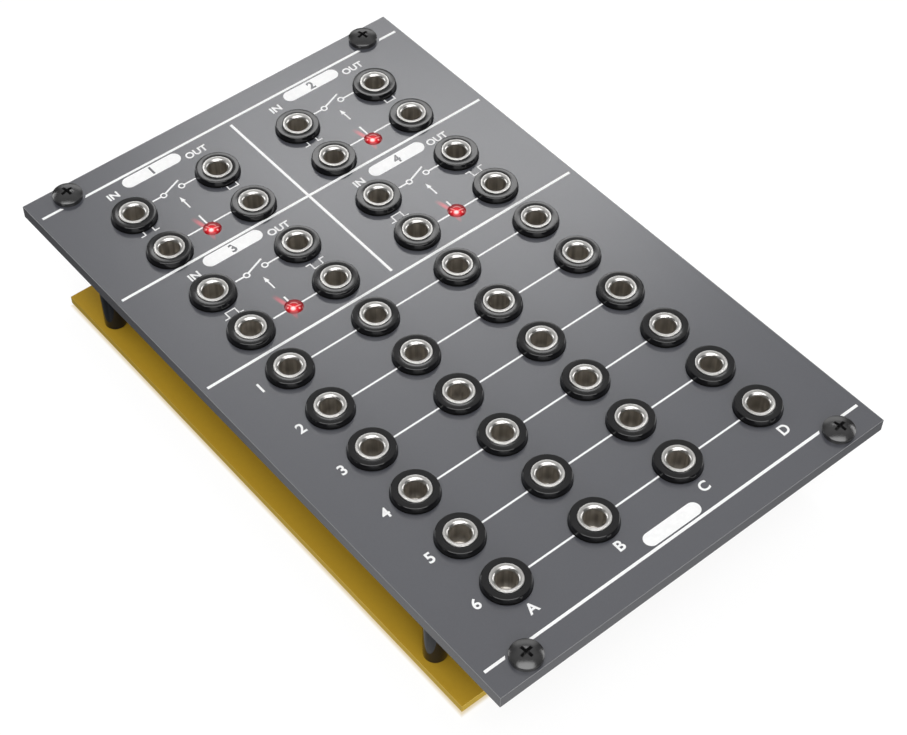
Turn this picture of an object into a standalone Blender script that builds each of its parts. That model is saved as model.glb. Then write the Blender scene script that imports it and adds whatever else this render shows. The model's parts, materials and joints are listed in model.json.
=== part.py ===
"""A eurorack module: four gates and six linked rows of jacks, on a flat panel over a circuit board.

Run it with blender --background --python part.py, or from Blender's text editor.
Metres, +Z up. The module lies on its back: the panel faces +Z, its top edge is at +Y, and Z is zero
on the surface that the board's screws stand on.
"""
import math

import bmesh
import bpy
from mathutils import Matrix, Vector

MM = 0.001

# Clearances
TOUCH_GAP = 0.3 * MM
CUT_OVERRUN = 1.0 * MM
MERGE_DISTANCE = 0.01 * MM

# Front panel
PANEL_WIDTH = 80.9 * MM
PANEL_HEIGHT = 128.5 * MM
PANEL_THICKNESS = 2.5 * MM
PANEL_EDGE = 0.25 * MM
RAIL_STRIP = 9.0 * MM

# Mounting screws and their slots
MOUNT_INSET = 7.5 * MM
MOUNT_INSET_RIGHT = 7.36 * MM
MOUNT_INSET_Y = 3.0 * MM
MOUNT_SLOT_LENGTH = 4.8 * MM
MOUNT_SHANK_DIAMETER = 2.9 * MM
MOUNT_SHANK_LENGTH = 6.0 * MM
MOUNT_HEAD_DIAMETER = 5.4 * MM
MOUNT_HEAD_SIDE = 0.7 * MM
MOUNT_HEAD_HEIGHT = 1.6 * MM
CROSS_LENGTH = 2.0 * MM
CROSS_WIDTH = 0.4 * MM
CROSS_DEPTH = 0.8 * MM
CROSS_TURN = math.radians(8)

# Circuit board
BOARD_SIDE_INSET = 0.5 * MM
BOARD_TOP_INSET = 11.0 * MM
BOARD_BOTTOM_INSET = 8.9 * MM
BOARD_THICKNESS = 1.6 * MM
BOARD_TO_PANEL = 11.9 * MM

# Standoffs and the screws that hold the board to them
STANDOFF_DIAMETER = 4.0 * MM
STANDOFF_INSET_X = 3.0 * MM
STANDOFF_INSET_Y = 10.0 * MM
STANDOFF_BORE_DEPTH = 6.0 * MM
SPIGOT_DIAMETER = 2.8 * MM
SPIGOT_LENGTH = 1.2 * MM
BOARD_SCREW_SHANK = 2.2 * MM
BOARD_SCREW_REACH = 5.0 * MM
BOARD_SCREW_HEAD = 5.0 * MM
BOARD_SCREW_HEAD_HEIGHT = 0.5 * MM
HEX_SOCKET_DIAMETER = 1.5 * MM
HEX_SOCKET_DEPTH = 0.3 * MM

# Jack sockets
JACK_COLUMN_PITCH = 17.8 * MM
JACK_ROW_PITCH = 10.8 * MM
JACK_CELL_PITCH = 12.8 * MM
NUT_DIAMETER = 8.2 * MM
NUT_HEIGHT = 1.2 * MM
NUT_EDGE = 0.2 * MM
BARREL_DIAMETER = 5.7 * MM
MOUTH_DIAMETER = 5.0 * MM
MOUTH_DEPTH = 0.45 * MM
BORE_DIAMETER = 3.6 * MM
BORE_FLOOR = 1.0 * MM
HOUSING_WIDTH = 9.0 * MM
HOUSING_ABOVE_BORE = 3.15 * MM
HOUSING_BELOW_BORE = 5.7 * MM

# LEDs
LED_DIAMETER = 3.2 * MM
LED_DOME_HEIGHT = 0.6 * MM
LED_FLANGE_DIAMETER = 4.6 * MM
LED_FLANGE_HEIGHT = 1.0 * MM
LED_LEG_PITCH = 2.54 * MM
LED_LEG_SIDE = 0.5 * MM

# Power socket at the board's top edge, between the middle columns
SOCKET_WIDTH = 8.0 * MM
SOCKET_DEPTH = 7.6 * MM
SOCKET_HEIGHT = 6.0 * MM
SOCKET_WALL = 0.8 * MM
SOCKET_CAVITY_DEPTH = 5.6 * MM
SOCKET_PIN_PITCH = 2.0 * MM
SOCKET_PIN_SIDE = 0.6 * MM
SOCKET_PIN_LENGTH = 4.6 * MM
SOCKET_PINS = 3

# Switch chip in the middle of the board
CHIP_LENGTH = 9.9 * MM
CHIP_WIDTH = 3.9 * MM
CHIP_HEIGHT = 1.5 * MM
CHIP_EDGE = 0.15 * MM
CHIP_LEAD_PITCH = 1.27 * MM
CHIP_LEAD_WIDTH = 0.42 * MM
CHIP_LEAD_REACH = 1.05 * MM
CHIP_LEAD_RISE = 0.7 * MM
CHIP_LEADS_A_SIDE = 8

# Counts
COLUMNS = 4
LINKED_ROWS = 6
ROUND_SIDES = 16
HOLE_SIDES = 12
DOME_STEPS = 3

# Levels, counted up from the surface under the board's screws
BOARD_BACK = BOARD_SCREW_HEAD_HEIGHT + TOUCH_GAP
BOARD_FRONT = BOARD_BACK + BOARD_THICKNESS
PANEL_BACK = BOARD_FRONT + BOARD_TO_PANEL
PANEL_FRONT = PANEL_BACK + PANEL_THICKNESS

# Edges of the board
BOARD_X = PANEL_WIDTH / 2 - BOARD_SIDE_INSET
BOARD_HIGH_Y = PANEL_HEIGHT / 2 - BOARD_TOP_INSET
BOARD_LOW_Y = -PANEL_HEIGHT / 2 + BOARD_BOTTOM_INSET


def flats_around(radius, sides):
    """The corner radius of a regular hole whose flats just clear a round of the given radius."""
    return radius / math.cos(math.pi / sides)


def column_places():
    """X of the four jack columns, left to right."""
    return [(index - (COLUMNS - 1) / 2) * JACK_COLUMN_PITCH for index in range(COLUMNS)]


def row_places():
    """Y of the ten jack rows, top to bottom, centred on the panel."""
    steps = [JACK_ROW_PITCH, JACK_CELL_PITCH, JACK_ROW_PITCH]
    steps += [JACK_ROW_PITCH] * LINKED_ROWS
    places = [sum(steps) / 2]
    for step in steps:
        places.append(places[-1] - step)
    return places


def jack_places():
    """Each jack's name and its place on the panel."""
    columns = column_places()
    rows = row_places()
    places = {}
    for gate in range(4):
        left = columns[2 * (gate % 2)]
        right = columns[2 * (gate % 2) + 1]
        upper = rows[2 * (gate // 2)]
        lower = rows[2 * (gate // 2) + 1]
        places[f"gate_{gate + 1}_in_jack"] = (left, upper)
        places[f"gate_{gate + 1}_out_jack"] = (right, upper)
        places[f"gate_{gate + 1}_pulse_jack"] = (left, lower)
        places[f"gate_{gate + 1}_inverted_jack"] = (right, lower)
    for row in range(LINKED_ROWS):
        for column, letter in enumerate("abcd"):
            places[f"jack_{row + 1}_{letter}"] = (columns[column], rows[4 + row])
    return places


def led_places():
    """Each LED's name and its place, midway between the two lower jacks of its gate."""
    columns = column_places()
    rows = row_places()
    places = {}
    for gate in range(4):
        first = 2 * (gate % 2)
        middle = (columns[first] + columns[first + 1]) / 2
        places[f"gate_{gate + 1}_led"] = (middle, rows[2 * (gate // 2) + 1])
    return places


def corner_places(left, right, top, bottom):
    """Four places named by the corner of the module that they are nearest to."""
    return {
        "top_left": (left, top),
        "top_right": (right, top),
        "bottom_left": (left, bottom),
        "bottom_right": (right, bottom),
    }


def mount_places():
    """The four mounting screws, set in from the panel's edges. They are 13 rail steps apart in X."""
    left = -PANEL_WIDTH / 2 + MOUNT_INSET
    right = PANEL_WIDTH / 2 - MOUNT_INSET_RIGHT
    top = PANEL_HEIGHT / 2 - MOUNT_INSET_Y
    return corner_places(left, right, top, -top)


def standoff_places():
    """The four standoffs, set in from the board's edges."""
    x = BOARD_X - STANDOFF_INSET_X
    return corner_places(-x, x, BOARD_HIGH_Y - STANDOFF_INSET_Y, BOARD_LOW_Y + STANDOFF_INSET_Y)


def material(name, colour, roughness, metallic=0.0):
    """A Principled material with one colour."""
    made = bpy.data.materials.new(name)
    made.use_nodes = True
    shader = made.node_tree.nodes["Principled BSDF"]
    shader.inputs["Base Color"].default_value = (*colour, 1.0)
    shader.inputs["Roughness"].default_value = roughness
    shader.inputs["Metallic"].default_value = metallic
    made.diffuse_color = (*colour, 1.0)
    return made


def place(name, mesh, finish, location=(0, 0, 0), turn=0.0):
    """A named part of the module, from a mesh that it may share."""
    obj = bpy.data.objects.new(name, mesh)
    if not mesh.materials:
        mesh.materials.append(finish)
    obj.location = location
    obj.rotation_euler.z = turn
    module_parts.objects.link(obj)
    return obj


def tool(name, mesh):
    """A cutter or a joined shape: drawn as wire and left out of renders."""
    obj = bpy.data.objects.new(name, mesh)
    obj.display_type = "WIRE"
    obj.hide_render = True
    cutters.objects.link(obj)
    return obj


def to_mesh(name, bm):
    """The mesh of a finished bmesh."""
    mesh = bpy.data.meshes.new(name)
    bm.to_mesh(mesh)
    bm.free()
    return mesh


def block(name, corners):
    """One mesh of boxes, each given by its low and high corner."""
    bm = bmesh.new()
    for low, high in corners:
        middle = (Vector(low) + Vector(high)) / 2
        size = Vector(high) - Vector(low)
        scale = Matrix.Diagonal((*size, 1))
        bmesh.ops.create_cube(bm, size=1, matrix=Matrix.Translation(middle) @ scale)
    return to_mesh(name, bm)


def score(mesh, heights):
    """Edge loops across a plate at the given Y, which bound the strips that seat on the rack's rails."""
    bm = bmesh.new()
    bm.from_mesh(mesh)
    for height in heights:
        everything = bm.verts[:] + bm.edges[:] + bm.faces[:]
        bmesh.ops.bisect_plane(bm, geom=everything, plane_co=(0, height, 0), plane_no=(0, 1, 0))
    bm.to_mesh(mesh)
    bm.free()


def rods(name, places, radius, low, high, sides, stretch=0.0):
    """One mesh of upright rods with flat sides, each pulled out along X by the stretch."""
    bm = bmesh.new()
    half_step = Matrix.Rotation(math.pi / sides, 4, "Z")
    for x, y in places:
        middle = Matrix.Translation((x, y, (low + high) / 2))
        made = bmesh.ops.create_cone(bm, cap_ends=True, segments=sides, radius1=radius, radius2=radius,
                                     depth=high - low, matrix=middle @ half_step)
        for vertex in made["verts"]:
            vertex.co.x += math.copysign(stretch, vertex.co.x - x)
    return to_mesh(name, bm)


def profile(name, points):
    """A mesh of one line of edges in the XZ plane, to be turned about Z."""
    mesh = bpy.data.meshes.new(name)
    edges = [(index, index + 1) for index in range(len(points) - 1)]
    mesh.from_pydata([(x, 0, z) for x, z in points], edges, [])
    return mesh


def turn_profile(obj, sides=ROUND_SIDES):
    """A full turn of the object's profile about its own Z axis."""
    screw = obj.modifiers.new("turn", "SCREW")
    screw.steps = sides
    screw.render_steps = sides
    screw.use_merge_vertices = True
    screw.merge_threshold = MERGE_DISTANCE
    screw.use_normal_calculate = False
    return obj


def combine(obj, other, operation):
    """A Boolean of one object with another."""
    boolean = obj.modifiers.new(other.name, "BOOLEAN")
    boolean.operation = operation
    boolean.object = other
    return obj


def shared_mesh(obj, name):
    """The object's mesh with its modifiers worked in, for copies to share."""
    depsgraph = bpy.context.evaluated_depsgraph_get()
    mesh = bpy.data.meshes.new_from_object(obj.evaluated_get(depsgraph))
    mesh.name = name
    mesh.materials.clear()
    mesh.shade_smooth()
    mesh.set_sharp_from_angle(angle=math.radians(35))
    bpy.data.objects.remove(obj)
    return mesh


def dome(radius, rim, top):
    """Points of a shallow dome from its top to its rim, as radius and height."""
    rise = top - rim
    ball = (radius ** 2 + rise ** 2) / (2 * rise)
    reach = math.asin(radius / ball)
    angles = [reach * step / DOME_STEPS for step in range(DOME_STEPS + 1)]
    return [(ball * math.sin(angle), top - ball * (1 - math.cos(angle))) for angle in angles]


def make_panel(finish):
    """The front panel, with jack and LED holes, mounting slots and blind holes for the standoffs."""
    x = PANEL_WIDTH / 2
    y = PANEL_HEIGHT / 2
    mesh = block("front_panel", [((-x, -y, PANEL_BACK), (x, y, PANEL_FRONT))])
    score(mesh, (y - RAIL_STRIP, RAIL_STRIP - y))
    panel = place("front_panel", mesh, finish)
    edge = panel.modifiers.new("edge", "BEVEL")
    edge.width = PANEL_EDGE
    edge.segments = 1

    low = PANEL_BACK - CUT_OVERRUN
    high = PANEL_FRONT + CUT_OVERRUN
    # Flat-sided holes whose sides clear the rounds that stand in them
    barrel = flats_around(BARREL_DIAMETER / 2 + TOUCH_GAP, HOLE_SIDES)
    lens = flats_around(LED_DIAMETER / 2 + TOUCH_GAP, HOLE_SIDES)
    spigot = flats_around(SPIGOT_DIAMETER / 2 + TOUCH_GAP, HOLE_SIDES)
    slot = flats_around(MOUNT_SHANK_DIAMETER / 2 + TOUCH_GAP, ROUND_SIDES)
    stretch = MOUNT_SLOT_LENGTH / 2 - slot
    spigot_end = PANEL_BACK + SPIGOT_LENGTH + TOUCH_GAP
    holes = [
        rods("jack_holes", jack_places().values(), barrel, low, high, HOLE_SIDES),
        rods("led_holes", led_places().values(), lens, low, high, HOLE_SIDES),
        rods("mounting_slots", mount_places().values(), slot, low, high, ROUND_SIDES, stretch),
        rods("standoff_seats", standoff_places().values(), spigot, low, spigot_end, HOLE_SIDES),
    ]
    for mesh in holes:
        combine(panel, tool(mesh.name, mesh), "DIFFERENCE")


def make_board(finish):
    """The circuit board, with clearance holes for its screws."""
    corners = ((-BOARD_X, BOARD_LOW_Y, BOARD_BACK), (BOARD_X, BOARD_HIGH_Y, BOARD_FRONT))
    board = place("circuit_board", block("circuit_board", [corners]), finish)
    radius = flats_around(BOARD_SCREW_SHANK / 2 + TOUCH_GAP, HOLE_SIDES)
    low = BOARD_BACK - CUT_OVERRUN
    high = BOARD_FRONT + CUT_OVERRUN
    mesh = rods("board_holes", standoff_places().values(), radius, low, high, HOLE_SIDES)
    combine(board, tool(mesh.name, mesh), "DIFFERENCE")


def make_standoffs(finish):
    """Turned standoffs: a spigot pressed into the panel, and a blind bore for the board's screw."""
    length = BOARD_TO_PANEL - 2 * TOUCH_GAP
    radius = STANDOFF_DIAMETER / 2
    spigot = SPIGOT_DIAMETER / 2
    spigot_top = length + TOUCH_GAP + SPIGOT_LENGTH
    bore = BOARD_SCREW_SHANK / 2 + TOUCH_GAP
    mesh = profile("standoff", [
        (0, spigot_top), (spigot, spigot_top), (spigot, length), (radius, length), (radius, 0),
        (bore, 0), (bore, STANDOFF_BORE_DEPTH), (0, STANDOFF_BORE_DEPTH),
    ])
    for corner, (x, y) in standoff_places().items():
        turn_profile(place(f"standoff_{corner}", mesh, finish, (x, y, BOARD_FRONT + TOUCH_GAP)))


def make_board_screws(finish):
    """Thin-headed screws under the board, which the module stands on."""
    head = BOARD_SCREW_HEAD / 2
    shank = BOARD_SCREW_SHANK / 2
    top = BOARD_FRONT + TOUCH_GAP + BOARD_SCREW_REACH
    mesh = profile("board_screw", [
        (0, top), (shank, top), (shank, BOARD_SCREW_HEAD_HEIGHT), (head, BOARD_SCREW_HEAD_HEIGHT),
        (head, 0), (0, 0),
    ])
    screw = turn_profile(place("board_screw", mesh, finish))
    socket = rods("hex_socket", [(0, 0)], HEX_SOCKET_DIAMETER / 2, -CUT_OVERRUN, HEX_SOCKET_DEPTH, 6)
    combine(screw, tool("hex_socket", socket), "DIFFERENCE")
    mesh = shared_mesh(screw, "board_screw")
    for corner, (x, y) in standoff_places().items():
        place(f"board_screw_{corner}", mesh, finish, (x, y, 0))


def make_mounting_screws(finish):
    """Black domed screws with a cross recess, each on its own axis in its slot."""
    head = MOUNT_HEAD_DIAMETER / 2
    shank = MOUNT_SHANK_DIAMETER / 2
    points = dome(head, MOUNT_HEAD_SIDE, MOUNT_HEAD_HEIGHT)
    points += [(head, TOUCH_GAP), (shank, TOUCH_GAP)]
    points += [(shank, TOUCH_GAP - MOUNT_SHANK_LENGTH), (0, TOUCH_GAP - MOUNT_SHANK_LENGTH)]
    screw = turn_profile(place("mounting_screw", profile("mounting_screw", points), finish))
    long = CROSS_LENGTH / 2
    thin = CROSS_WIDTH / 2
    low = MOUNT_HEAD_HEIGHT - CROSS_DEPTH
    high = MOUNT_HEAD_HEIGHT + CUT_OVERRUN
    arm = tool("cross_arm", block("cross_arm", [((-long, -thin, low), (long, thin, high))]))
    combine(screw, arm, "DIFFERENCE")
    other = tool("cross_other_arm", block("cross_other_arm", [((-thin, -long, low), (thin, long, high))]))
    combine(screw, other, "DIFFERENCE")
    mesh = shared_mesh(screw, "mounting_screw")
    for corner, (x, y) in mount_places().items():
        place(f"mounting_screw_{corner}", mesh, finish, (x, y, PANEL_FRONT), CROSS_TURN)


def make_jacks(finish):
    """Jack sockets: ring nut, threaded barrel and housing in one solid, with the plug's bore."""
    nut = NUT_DIAMETER / 2
    barrel = BARREL_DIAMETER / 2
    housing_top = -PANEL_THICKNESS - TOUCH_GAP
    housing_low = -PANEL_THICKNESS - BOARD_TO_PANEL + TOUCH_GAP
    x = HOUSING_WIDTH / 2
    corners = ((-x, -HOUSING_BELOW_BORE, housing_low), (x, HOUSING_ABOVE_BORE, housing_top))
    jack = place("jack", block("jack", [corners]), finish)

    turned = tool("nut_and_barrel", profile("nut_and_barrel", [
        (0, NUT_HEIGHT), (nut - NUT_EDGE, NUT_HEIGHT), (nut, NUT_HEIGHT - NUT_EDGE), (nut, TOUCH_GAP),
        (barrel, TOUCH_GAP), (barrel, housing_top - CUT_OVERRUN), (0, housing_top - CUT_OVERRUN),
    ]))
    combine(jack, turn_profile(turned), "UNION")

    mouth = MOUTH_DIAMETER / 2
    bore = BORE_DIAMETER / 2
    slope = (mouth - bore) / MOUTH_DEPTH
    top = NUT_HEIGHT + CUT_OVERRUN
    hollow = tool("plug_bore", profile("plug_bore", [
        (0, top), (mouth + slope * CUT_OVERRUN, top), (bore, NUT_HEIGHT - MOUTH_DEPTH),
        (bore, housing_low + BORE_FLOOR), (0, housing_low + BORE_FLOOR),
    ]))
    combine(jack, turn_profile(hollow, HOLE_SIDES), "DIFFERENCE")

    mesh = shared_mesh(jack, "jack")
    for name, (x, y) in jack_places().items():
        place(name, mesh, finish, (x, y, PANEL_FRONT))


def make_leds(finish):
    """LEDs with a low domed lens through the panel, a flange behind it and two legs to the board."""
    lens = LED_DIAMETER / 2
    flange = LED_FLANGE_DIAMETER / 2
    flange_top = -PANEL_THICKNESS - TOUCH_GAP
    flange_low = flange_top - LED_FLANGE_HEIGHT
    points = dome(lens, 0, LED_DOME_HEIGHT)
    points += [(lens, flange_top), (flange, flange_top), (flange, flange_low), (0, flange_low)]
    led = turn_profile(place("led", profile("led", points), finish), HOLE_SIDES)
    side = LED_LEG_SIDE / 2
    board = TOUCH_GAP - PANEL_THICKNESS - BOARD_TO_PANEL
    legs = []
    for x in (-LED_LEG_PITCH / 2, LED_LEG_PITCH / 2):
        legs.append(((x - side, -side, board), (x + side, side, flange_low + LED_FLANGE_HEIGHT / 2)))
    combine(led, tool("led_legs", block("led_legs", legs)), "UNION")
    mesh = shared_mesh(led, "led")
    for name, (x, y) in led_places().items():
        place(name, mesh, finish, (x, y, PANEL_FRONT))


def make_power_socket(finish):
    """A side-entry power socket that opens past the board's top edge, with its row of pins."""
    low = BOARD_FRONT + TOUCH_GAP
    back = BOARD_HIGH_Y - SOCKET_DEPTH
    x = SOCKET_WIDTH / 2
    body = block("power_socket", [((-x, back, low), (x, BOARD_HIGH_Y, low + SOCKET_HEIGHT))])
    socket = place("power_socket", body, finish)
    inner = x - SOCKET_WALL
    floor = BOARD_HIGH_Y - SOCKET_CAVITY_DEPTH
    mouth = BOARD_HIGH_Y + CUT_OVERRUN
    roof = low + SOCKET_HEIGHT - SOCKET_WALL
    cavity = block("socket_cavity", [((-inner, floor, low + SOCKET_WALL), (inner, mouth, roof))])
    combine(socket, tool("socket_cavity", cavity), "DIFFERENCE")
    side = SOCKET_PIN_SIDE / 2
    middle = low + SOCKET_HEIGHT / 2
    root = floor - (SOCKET_DEPTH - SOCKET_CAVITY_DEPTH) / 2
    pins = []
    for index in range(SOCKET_PINS):
        pin = (index - (SOCKET_PINS - 1) / 2) * SOCKET_PIN_PITCH
        pins.append(((pin - side, root, middle - side), (pin + side, floor + SOCKET_PIN_LENGTH, middle + side)))
    combine(socket, tool("socket_pins", block("socket_pins", pins)), "UNION")


def make_chip(finish):
    """The analogue switch chip that the gates work with, flat on the board, with its leads."""
    low = BOARD_FRONT + TOUCH_GAP
    rows = row_places()
    middle = (rows[2] + rows[3]) / 2
    x = CHIP_WIDTH / 2
    y = CHIP_LENGTH / 2
    body = block("switch_chip", [((-x, middle - y, low), (x, middle + y, low + CHIP_HEIGHT))])
    chip = place("switch_chip", body, finish)
    edge = chip.modifiers.new("edge", "BEVEL")
    edge.width = CHIP_EDGE
    edge.segments = 1
    half = CHIP_LEAD_WIDTH / 2
    reach = x + CHIP_LEAD_REACH
    leads = []
    for index in range(CHIP_LEADS_A_SIDE):
        lead = middle + (index - (CHIP_LEADS_A_SIDE - 1) / 2) * CHIP_LEAD_PITCH
        leads.append(((-reach, lead - half, low), (reach, lead + half, low + CHIP_LEAD_RISE)))
    combine(chip, tool("chip_leads", block("chip_leads", leads)), "UNION")


for old in list(bpy.data.objects):
    bpy.data.objects.remove(old)

module_parts = bpy.data.collections.new("eurorack_module")
cutters = bpy.data.collections.new("cutters")
bpy.context.scene.collection.children.link(module_parts)
bpy.context.scene.collection.children.link(cutters)

black_metal = material("black_metal", (0.02, 0.02, 0.021), 0.35, 0.6)
make_panel(material("grey_panel", (0.13, 0.132, 0.138), 0.42))
make_board(material("mustard_board", (0.33, 0.2, 0.02), 0.45))
make_standoffs(black_metal)
make_board_screws(black_metal)
make_mounting_screws(black_metal)
make_jacks(material("gloss_black", (0.012, 0.012, 0.013), 0.2))
make_leds(material("red_lens", (0.8, 0.01, 0.015), 0.15))
make_power_socket(material("white_nylon", (0.75, 0.73, 0.68), 0.45))
make_chip(material("chip_black", (0.015, 0.015, 0.016), 0.5))
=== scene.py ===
"""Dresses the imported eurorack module: its faceplate, print, jacks, LEDs, screws, board, light and camera.

Run it with blender --background --python scene.py, or from Blender's text editor. Metres, +Z up.
"""
import json
import math

import bmesh
import bpy
from bpy.props import FloatProperty, FloatVectorProperty, IntProperty, PointerProperty
from bpy.types import Operator, Panel, PropertyGroup
from mathutils import Matrix, Vector
from mathutils.geometry import delaunay_2d_cdt

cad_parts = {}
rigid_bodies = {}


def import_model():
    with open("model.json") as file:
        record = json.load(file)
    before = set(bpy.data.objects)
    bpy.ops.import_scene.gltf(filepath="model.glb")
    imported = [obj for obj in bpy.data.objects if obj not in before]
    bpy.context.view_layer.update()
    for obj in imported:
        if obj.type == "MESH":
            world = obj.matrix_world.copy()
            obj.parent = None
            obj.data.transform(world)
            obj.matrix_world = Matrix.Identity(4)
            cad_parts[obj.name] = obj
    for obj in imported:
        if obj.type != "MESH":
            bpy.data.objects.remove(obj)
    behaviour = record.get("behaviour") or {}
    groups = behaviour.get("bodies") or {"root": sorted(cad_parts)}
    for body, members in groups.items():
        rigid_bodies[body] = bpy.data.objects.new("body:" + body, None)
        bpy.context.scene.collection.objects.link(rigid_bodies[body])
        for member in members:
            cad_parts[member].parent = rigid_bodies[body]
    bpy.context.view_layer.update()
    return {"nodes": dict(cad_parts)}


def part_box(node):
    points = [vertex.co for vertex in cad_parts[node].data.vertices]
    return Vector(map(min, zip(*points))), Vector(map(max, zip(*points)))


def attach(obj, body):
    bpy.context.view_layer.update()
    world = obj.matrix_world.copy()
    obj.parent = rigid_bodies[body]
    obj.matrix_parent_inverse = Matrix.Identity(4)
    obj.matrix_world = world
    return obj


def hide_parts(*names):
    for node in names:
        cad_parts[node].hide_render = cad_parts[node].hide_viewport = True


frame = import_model()

bl_info = {
    "name": "Eurorack module dressing",
    "version": (1, 0, 0),
    "blender": (4, 5, 0),
    "location": "3D View > Sidebar > Module",
    "description": "Builds the visible pieces and finishes of a eurorack module round its CAD parts",
    "category": "Object",
}

MM = 0.001
BODY = "module"

PANEL_LOW, PANEL_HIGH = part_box("front_panel")
BOARD_LOW, BOARD_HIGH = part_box("circuit_board")
SOCKET_LOW, SOCKET_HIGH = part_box("power_socket")
HEAD_LOW, HEAD_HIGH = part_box("mounting_screw_top_left")
JACK_LOW, JACK_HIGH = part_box("gate_1_in_jack")
CHIP_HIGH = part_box("switch_chip")[1]

PANEL_FRONT = PANEL_HIGH.z
PANEL_BACK = PANEL_LOW.z
BOARD_FRONT = BOARD_HIGH.z
BOARD_BACK = BOARD_LOW.z
CORNERS = ("top_left", "top_right", "bottom_left", "bottom_right")
JACKS = sorted(name for name in frame["nodes"] if name.startswith("jack_") or name.endswith("_jack"))
LEDS = sorted(name for name in frame["nodes"] if name.endswith("_led"))
GATES = range(1, 5)
ROWS = range(1, 7)
COLUMNS = "abcd"

NUT_RADIUS = 4.1 * MM
# The bearing of the view that the module is dressed for, which is from the front left.
VIEW_TURN = math.radians(39.4)


def centre_of(node):
    """The middle of a CAD node, seen from above."""
    low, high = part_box(node)
    return Vector(((low.x + high.x) / 2, (low.y + high.y) / 2))


def at_corners(kind):
    """The names of the four nodes of a kind, one at each corner."""
    return [f"{kind}_{corner}" for corner in CORNERS]


def jack_centre(node):
    """The axis of a jack: its ring nut reaches furthest towards the panel's top."""
    low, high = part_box(node)
    return Vector(((low.x + high.x) / 2, high.y - NUT_RADIUS))


# From a jack's axis to the front of its housing, and to the pins of its sleeve, tip and switch.
HOUSING_FRONT = JACK_LOW.y - jack_centre("gate_1_in_jack").y
PINS = ((0, HOUSING_FRONT + 0.05 * MM), (0, 3.1 * MM), (-3.9 * MM, -1.6 * MM))


def length(name, about, size):
    """A setting that is a length. Its default is given in millimetres."""
    return FloatProperty(name=name, description=about, default=size * MM, unit="LENGTH")


def tint(name, about, colour):
    """A setting that is a colour."""
    return FloatVectorProperty(name=name, description=about, default=colour, subtype="COLOR")


def brightness(name, about, strength):
    """A setting that is the brightness of a light."""
    return FloatProperty(name=name, description=about, default=strength)


class PanelSettings(PropertyGroup):
    """Sizes and colours of the faceplate and its print."""

    edge_round: length("Edge round", "Round along the plate's edges", 0.07)
    jack_hole: length("Jack hole", "Diameter of a jack's hole", 6.3)
    led_hole: length("LED hole", "Diameter of an LED's hole", 3.3)
    slot_length: length("Slot length", "Length of a mounting slot", 4.8)
    slot_width: length("Slot width", "Width of a mounting slot", 3.5)
    ink_height: length("Ink height", "Thickness of the white print", 0.02)
    thick_line: length("Thick line", "Width of the dividing lines", 0.52)
    thin_line: length("Thin line", "Width of the lines that join the jacks", 0.335)
    paint: tint("Paint", "Colour of the faceplate", (0.061, 0.063, 0.0745))
    ink: tint("Ink", "Colour of the print", (0.94, 0.94, 0.94))
    paint_roughness: FloatProperty(
        name="Paint roughness", description="Roughness of the satin paint", default=0.224, min=0, max=1,
        subtype="FACTOR")


class JackSettings(PropertyGroup):
    """Sizes and colours of the jack sockets."""

    nut_height: length("Nut height", "Height of the ring nut over the panel", 1.2)
    nut_edge: length("Nut bevel", "Width of the bevel along the ring nuts' front edge", 0.1)
    lip_diameter: length("Lip diameter", "Outer diameter of the barrel's bright lip", 5.36)
    lip_rise: length("Lip rise", "Height of the lip over the ring nut", 0.12)
    mouth_depth: length("Mouth depth", "Depth of the flared mouth", 0.55)
    bore_diameter: length("Bore diameter", "Diameter of the plug's bore", 3.56)
    sides: IntProperty(name="Sides", description="Steps round each turned part", default=56, min=12)
    black: tint("Black", "Colour of the ring nuts", (0.005, 0.005, 0.0055))


class BoardSettings(PropertyGroup):
    """Colours of the circuit board and the width of its traces."""

    mask: tint("Solder mask", "Colour of the board's faces", (0.565, 0.343, 0.029))
    # The cut edge's colour is the paler glass fibre, made lighter still to stand in for light on the board's
    # sides.
    edge: tint("Cut edge", "Colour of the board's cut edges", (0.68, 0.455, 0.052))
    trace_width: length("Trace width", "Width of the copper traces", 0.5)


class StageSettings(PropertyGroup):
    """Light and camera."""

    lens: FloatProperty(name="Lens", description="Focal length of the camera", default=77.64, unit="CAMERA")
    key_strength: brightness("Key light", "Brightness of the softbox that the panel mirrors", 4.6)
    top_strength: brightness("Top light", "Brightness of the large softbox over the camera", 3.6)
    front_strength: brightness("Front light", "Brightness of the softbox on the camera's side", 3.9)
    side_strength: brightness("Side lights", "Brightness of the two softboxes at the sides", 3.5)
    room_strength: brightness("Room light", "Brightness of the soft light overhead", 0.6)
    backdrop_strength: brightness("Backdrop", "Brightness of the white backdrop beyond the module", 1.0)


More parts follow.
